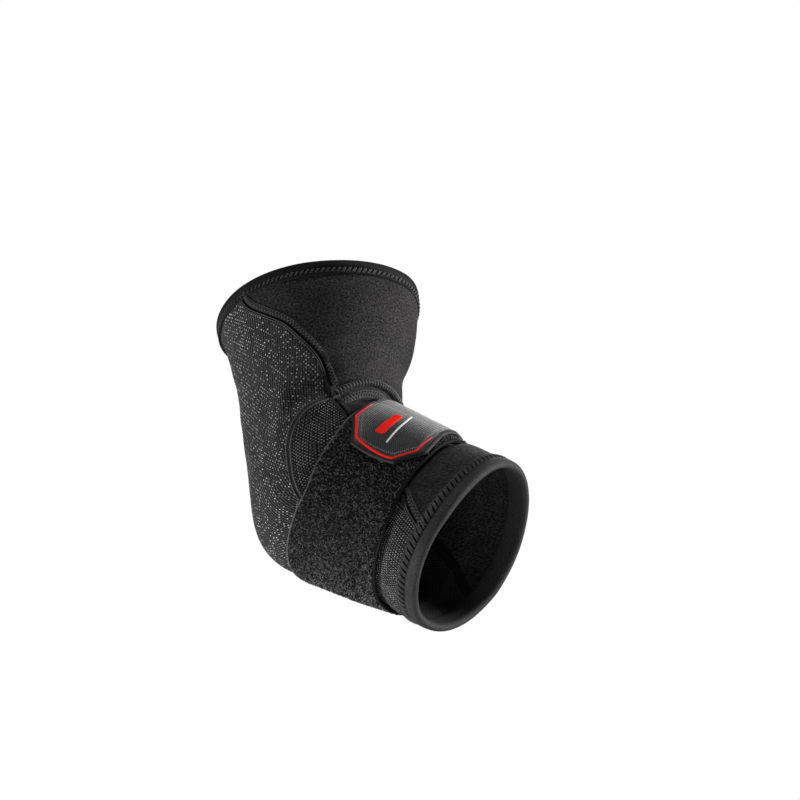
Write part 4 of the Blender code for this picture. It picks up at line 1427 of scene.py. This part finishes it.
def tab_row(shape, first, last, edge, inset, step):
    """Running stitch on the tab at an inset in metres from one of its edges, 0 the upper and 1 the lower."""
    angle = np.linspace(first, last, 300)
    edges = [np.interp(angle, tab_angle, places) for places in (tab_upper, tab_lower)]
    width = np.interp(angle, tab_angle, tab_fall[-1])
    share = edges[edge] + (edges[1 - edge] - edges[edge]) * inset / width
    run = cloth_run(strap_point(share, angle, TRIM_TOP)[None], 1)[0]
    reach = np.linspace(-0.5, 0.5, 6)
    places = (np.arange(int(run[-1] / step))[:, None] + 0.5 + 0.66 * reach[None]) * step
    at_angle = np.interp(places, run, angle)
    at_share = np.interp(places, run, share)
    arch = THREAD * (1.4 * np.cos(np.pi * reach) ** 0.6 - 1.2)
    path, up = strap_place(at_share, at_angle, TRIM_TOP + arch)
    thread(shape, path, up, THREAD * 1.6)


tab_stitch_shape = Shape()
for edge, inset, last in ((0, 0.0017, 50.0), (0, 0.0030, 38.0), (1, 0.0017, 38.0)):
    tab_row(tab_stitch_shape, -38.0, last, edge, inset, EDGE_STITCH)
tab_stitches = tab_stitch_shape.piece("tab_edge_stitches", TAB_THREAD, "seam_thread")

# Plain accents on the tab's field. Columns: name, first angle and share, last angle and share, width, finish
ACCENTS = (
    ("tab_accent_bar", 57.5, 0.47, 38.0, 0.40, 0.0058, RED),
    ("tab_accent_line", 60.0, 0.64, 31.0, 0.50, 0.0011, WHITE),
)
for name, angle_from, share_from, angle_to, share_to, width, finish in ACCENTS:
    step = np.linspace(0, 1, 60)
    taper = np.clip(np.minimum(step, 1 - step) * 30, 0.5, 1) ** 0.5
    accent_angle = angle_from + (angle_to - angle_from) * step
    accent_share = share_from + (share_to - share_from) * step
    accent = Shape()
    ribbon(accent, accent_angle, accent_share, width * taper, FIELD_TOP, FIELD_TOP + ACCENT_RISE)
    accent.piece(name, finish, "tab_trim_red")


# Floor, light and camera
def floor():
    """Plain pale floor well under the brace: a square whose paint fades out with distance from its middle."""
    mesh = bpy.data.meshes.new("floor")
    half = 4.0
    corners = [(x * half, y * half, FLOOR_LEVEL) for x, y in ((-1, -1), (1, -1), (1, 1), (-1, 1))]
    mesh.from_pydata(corners, [], [(0, 1, 2, 3)])
    finish = Finish("floor_paint", roughness=0.85)
    place = finish.add("TexCoord", {}, output=3)
    finish.shade(finish.mix(finish.noise(place, 0.4), grey(0.80), grey(0.83)))
    reach = finish.add("VectorMath", {0: place}, output=1, operation="LENGTH")
    fade = finish.step(reach, *FLOOR_FADE, 1.0, 0.0)
    finish.tree.links.new(fade, finish.skin.inputs["Alpha"])
    mesh.materials.append(finish.material)
    piece = bpy.data.objects.new("floor", mesh)
    bpy.context.scene.collection.objects.link(piece)


def facing(azimuth, elevation):
    """Unit vector from the brace towards a viewer at that azimuth and elevation."""
    a, e = np.radians(azimuth), np.radians(elevation)
    return np.array([np.sin(a) * np.cos(e), -np.cos(a) * np.cos(e), np.sin(e)])


def aimed(name, data, azimuth, elevation, distance):
    """Camera or light at a direction and distance from CAMERA_TARGET, looking at it."""
    back = facing(azimuth, elevation)
    right = unit(np.cross((0.0, 0.0, 1.0), back))
    turn = np.stack([right, np.cross(back, right), back], axis=-1)
    place = np.eye(4)
    place[:3, :3] = turn
    place[:3, 3] = np.array(CAMERA_TARGET) + back * distance
    item = bpy.data.objects.new(name, data)
    bpy.context.scene.collection.objects.link(item)
    item.matrix_world = Matrix(place)
    return item


# Columns: name, azimuth, elevation, distance, size, power
LIGHTS = (
    ("key_light", 111.0, 4.0, 1.2, 0.36, 34.0),
    ("front_light", 0.0, -30.0, 1.6, 0.80, 2.5),
    ("left_light", -78.0, -18.0, 1.3, 0.45, 24.0),
    ("top_light", 50.0, 55.0, 1.2, 0.45, 11.0),
    ("back_light", 205.0, 45.0, 1.6, 1.00, 14.0),
)
for name, azimuth, elevation, distance, size, power in LIGHTS:
    light = bpy.data.lights.new(name, "AREA")
    light.shape = "DISK"
    light.size = size
    light.energy = power
    aimed(name, light, azimuth, elevation, distance)

world = bpy.data.worlds.new("studio")
bpy.context.scene.world = world
world.use_nodes = True
background = world.node_tree.nodes["Background"]
seen = world.node_tree.nodes.new("ShaderNodeLightPath")
amount = world.node_tree.nodes.new("ShaderNodeMapRange")
amount.inputs["To Min"].default_value = AMBIENT
amount.inputs["To Max"].default_value = 1.0
world.node_tree.links.new(seen.outputs["Is Camera Ray"], amount.inputs["Value"])
world.node_tree.links.new(amount.outputs["Result"], background.inputs["Strength"])
background.inputs["Color"].default_value = (1.0, 1.0, 1.0, 1.0)
floor()

camera_data = bpy.data.cameras.new("camera")
camera_data.lens = CAMERA_LENS
camera_data.sensor_width = 36.0
camera = aimed("camera", camera_data, CAMERA_AZIMUTH, CAMERA_ELEVATION, CAMERA_DISTANCE)
bpy.context.scene.camera = camera
bpy.context.scene.view_settings.view_transform = "Standard"
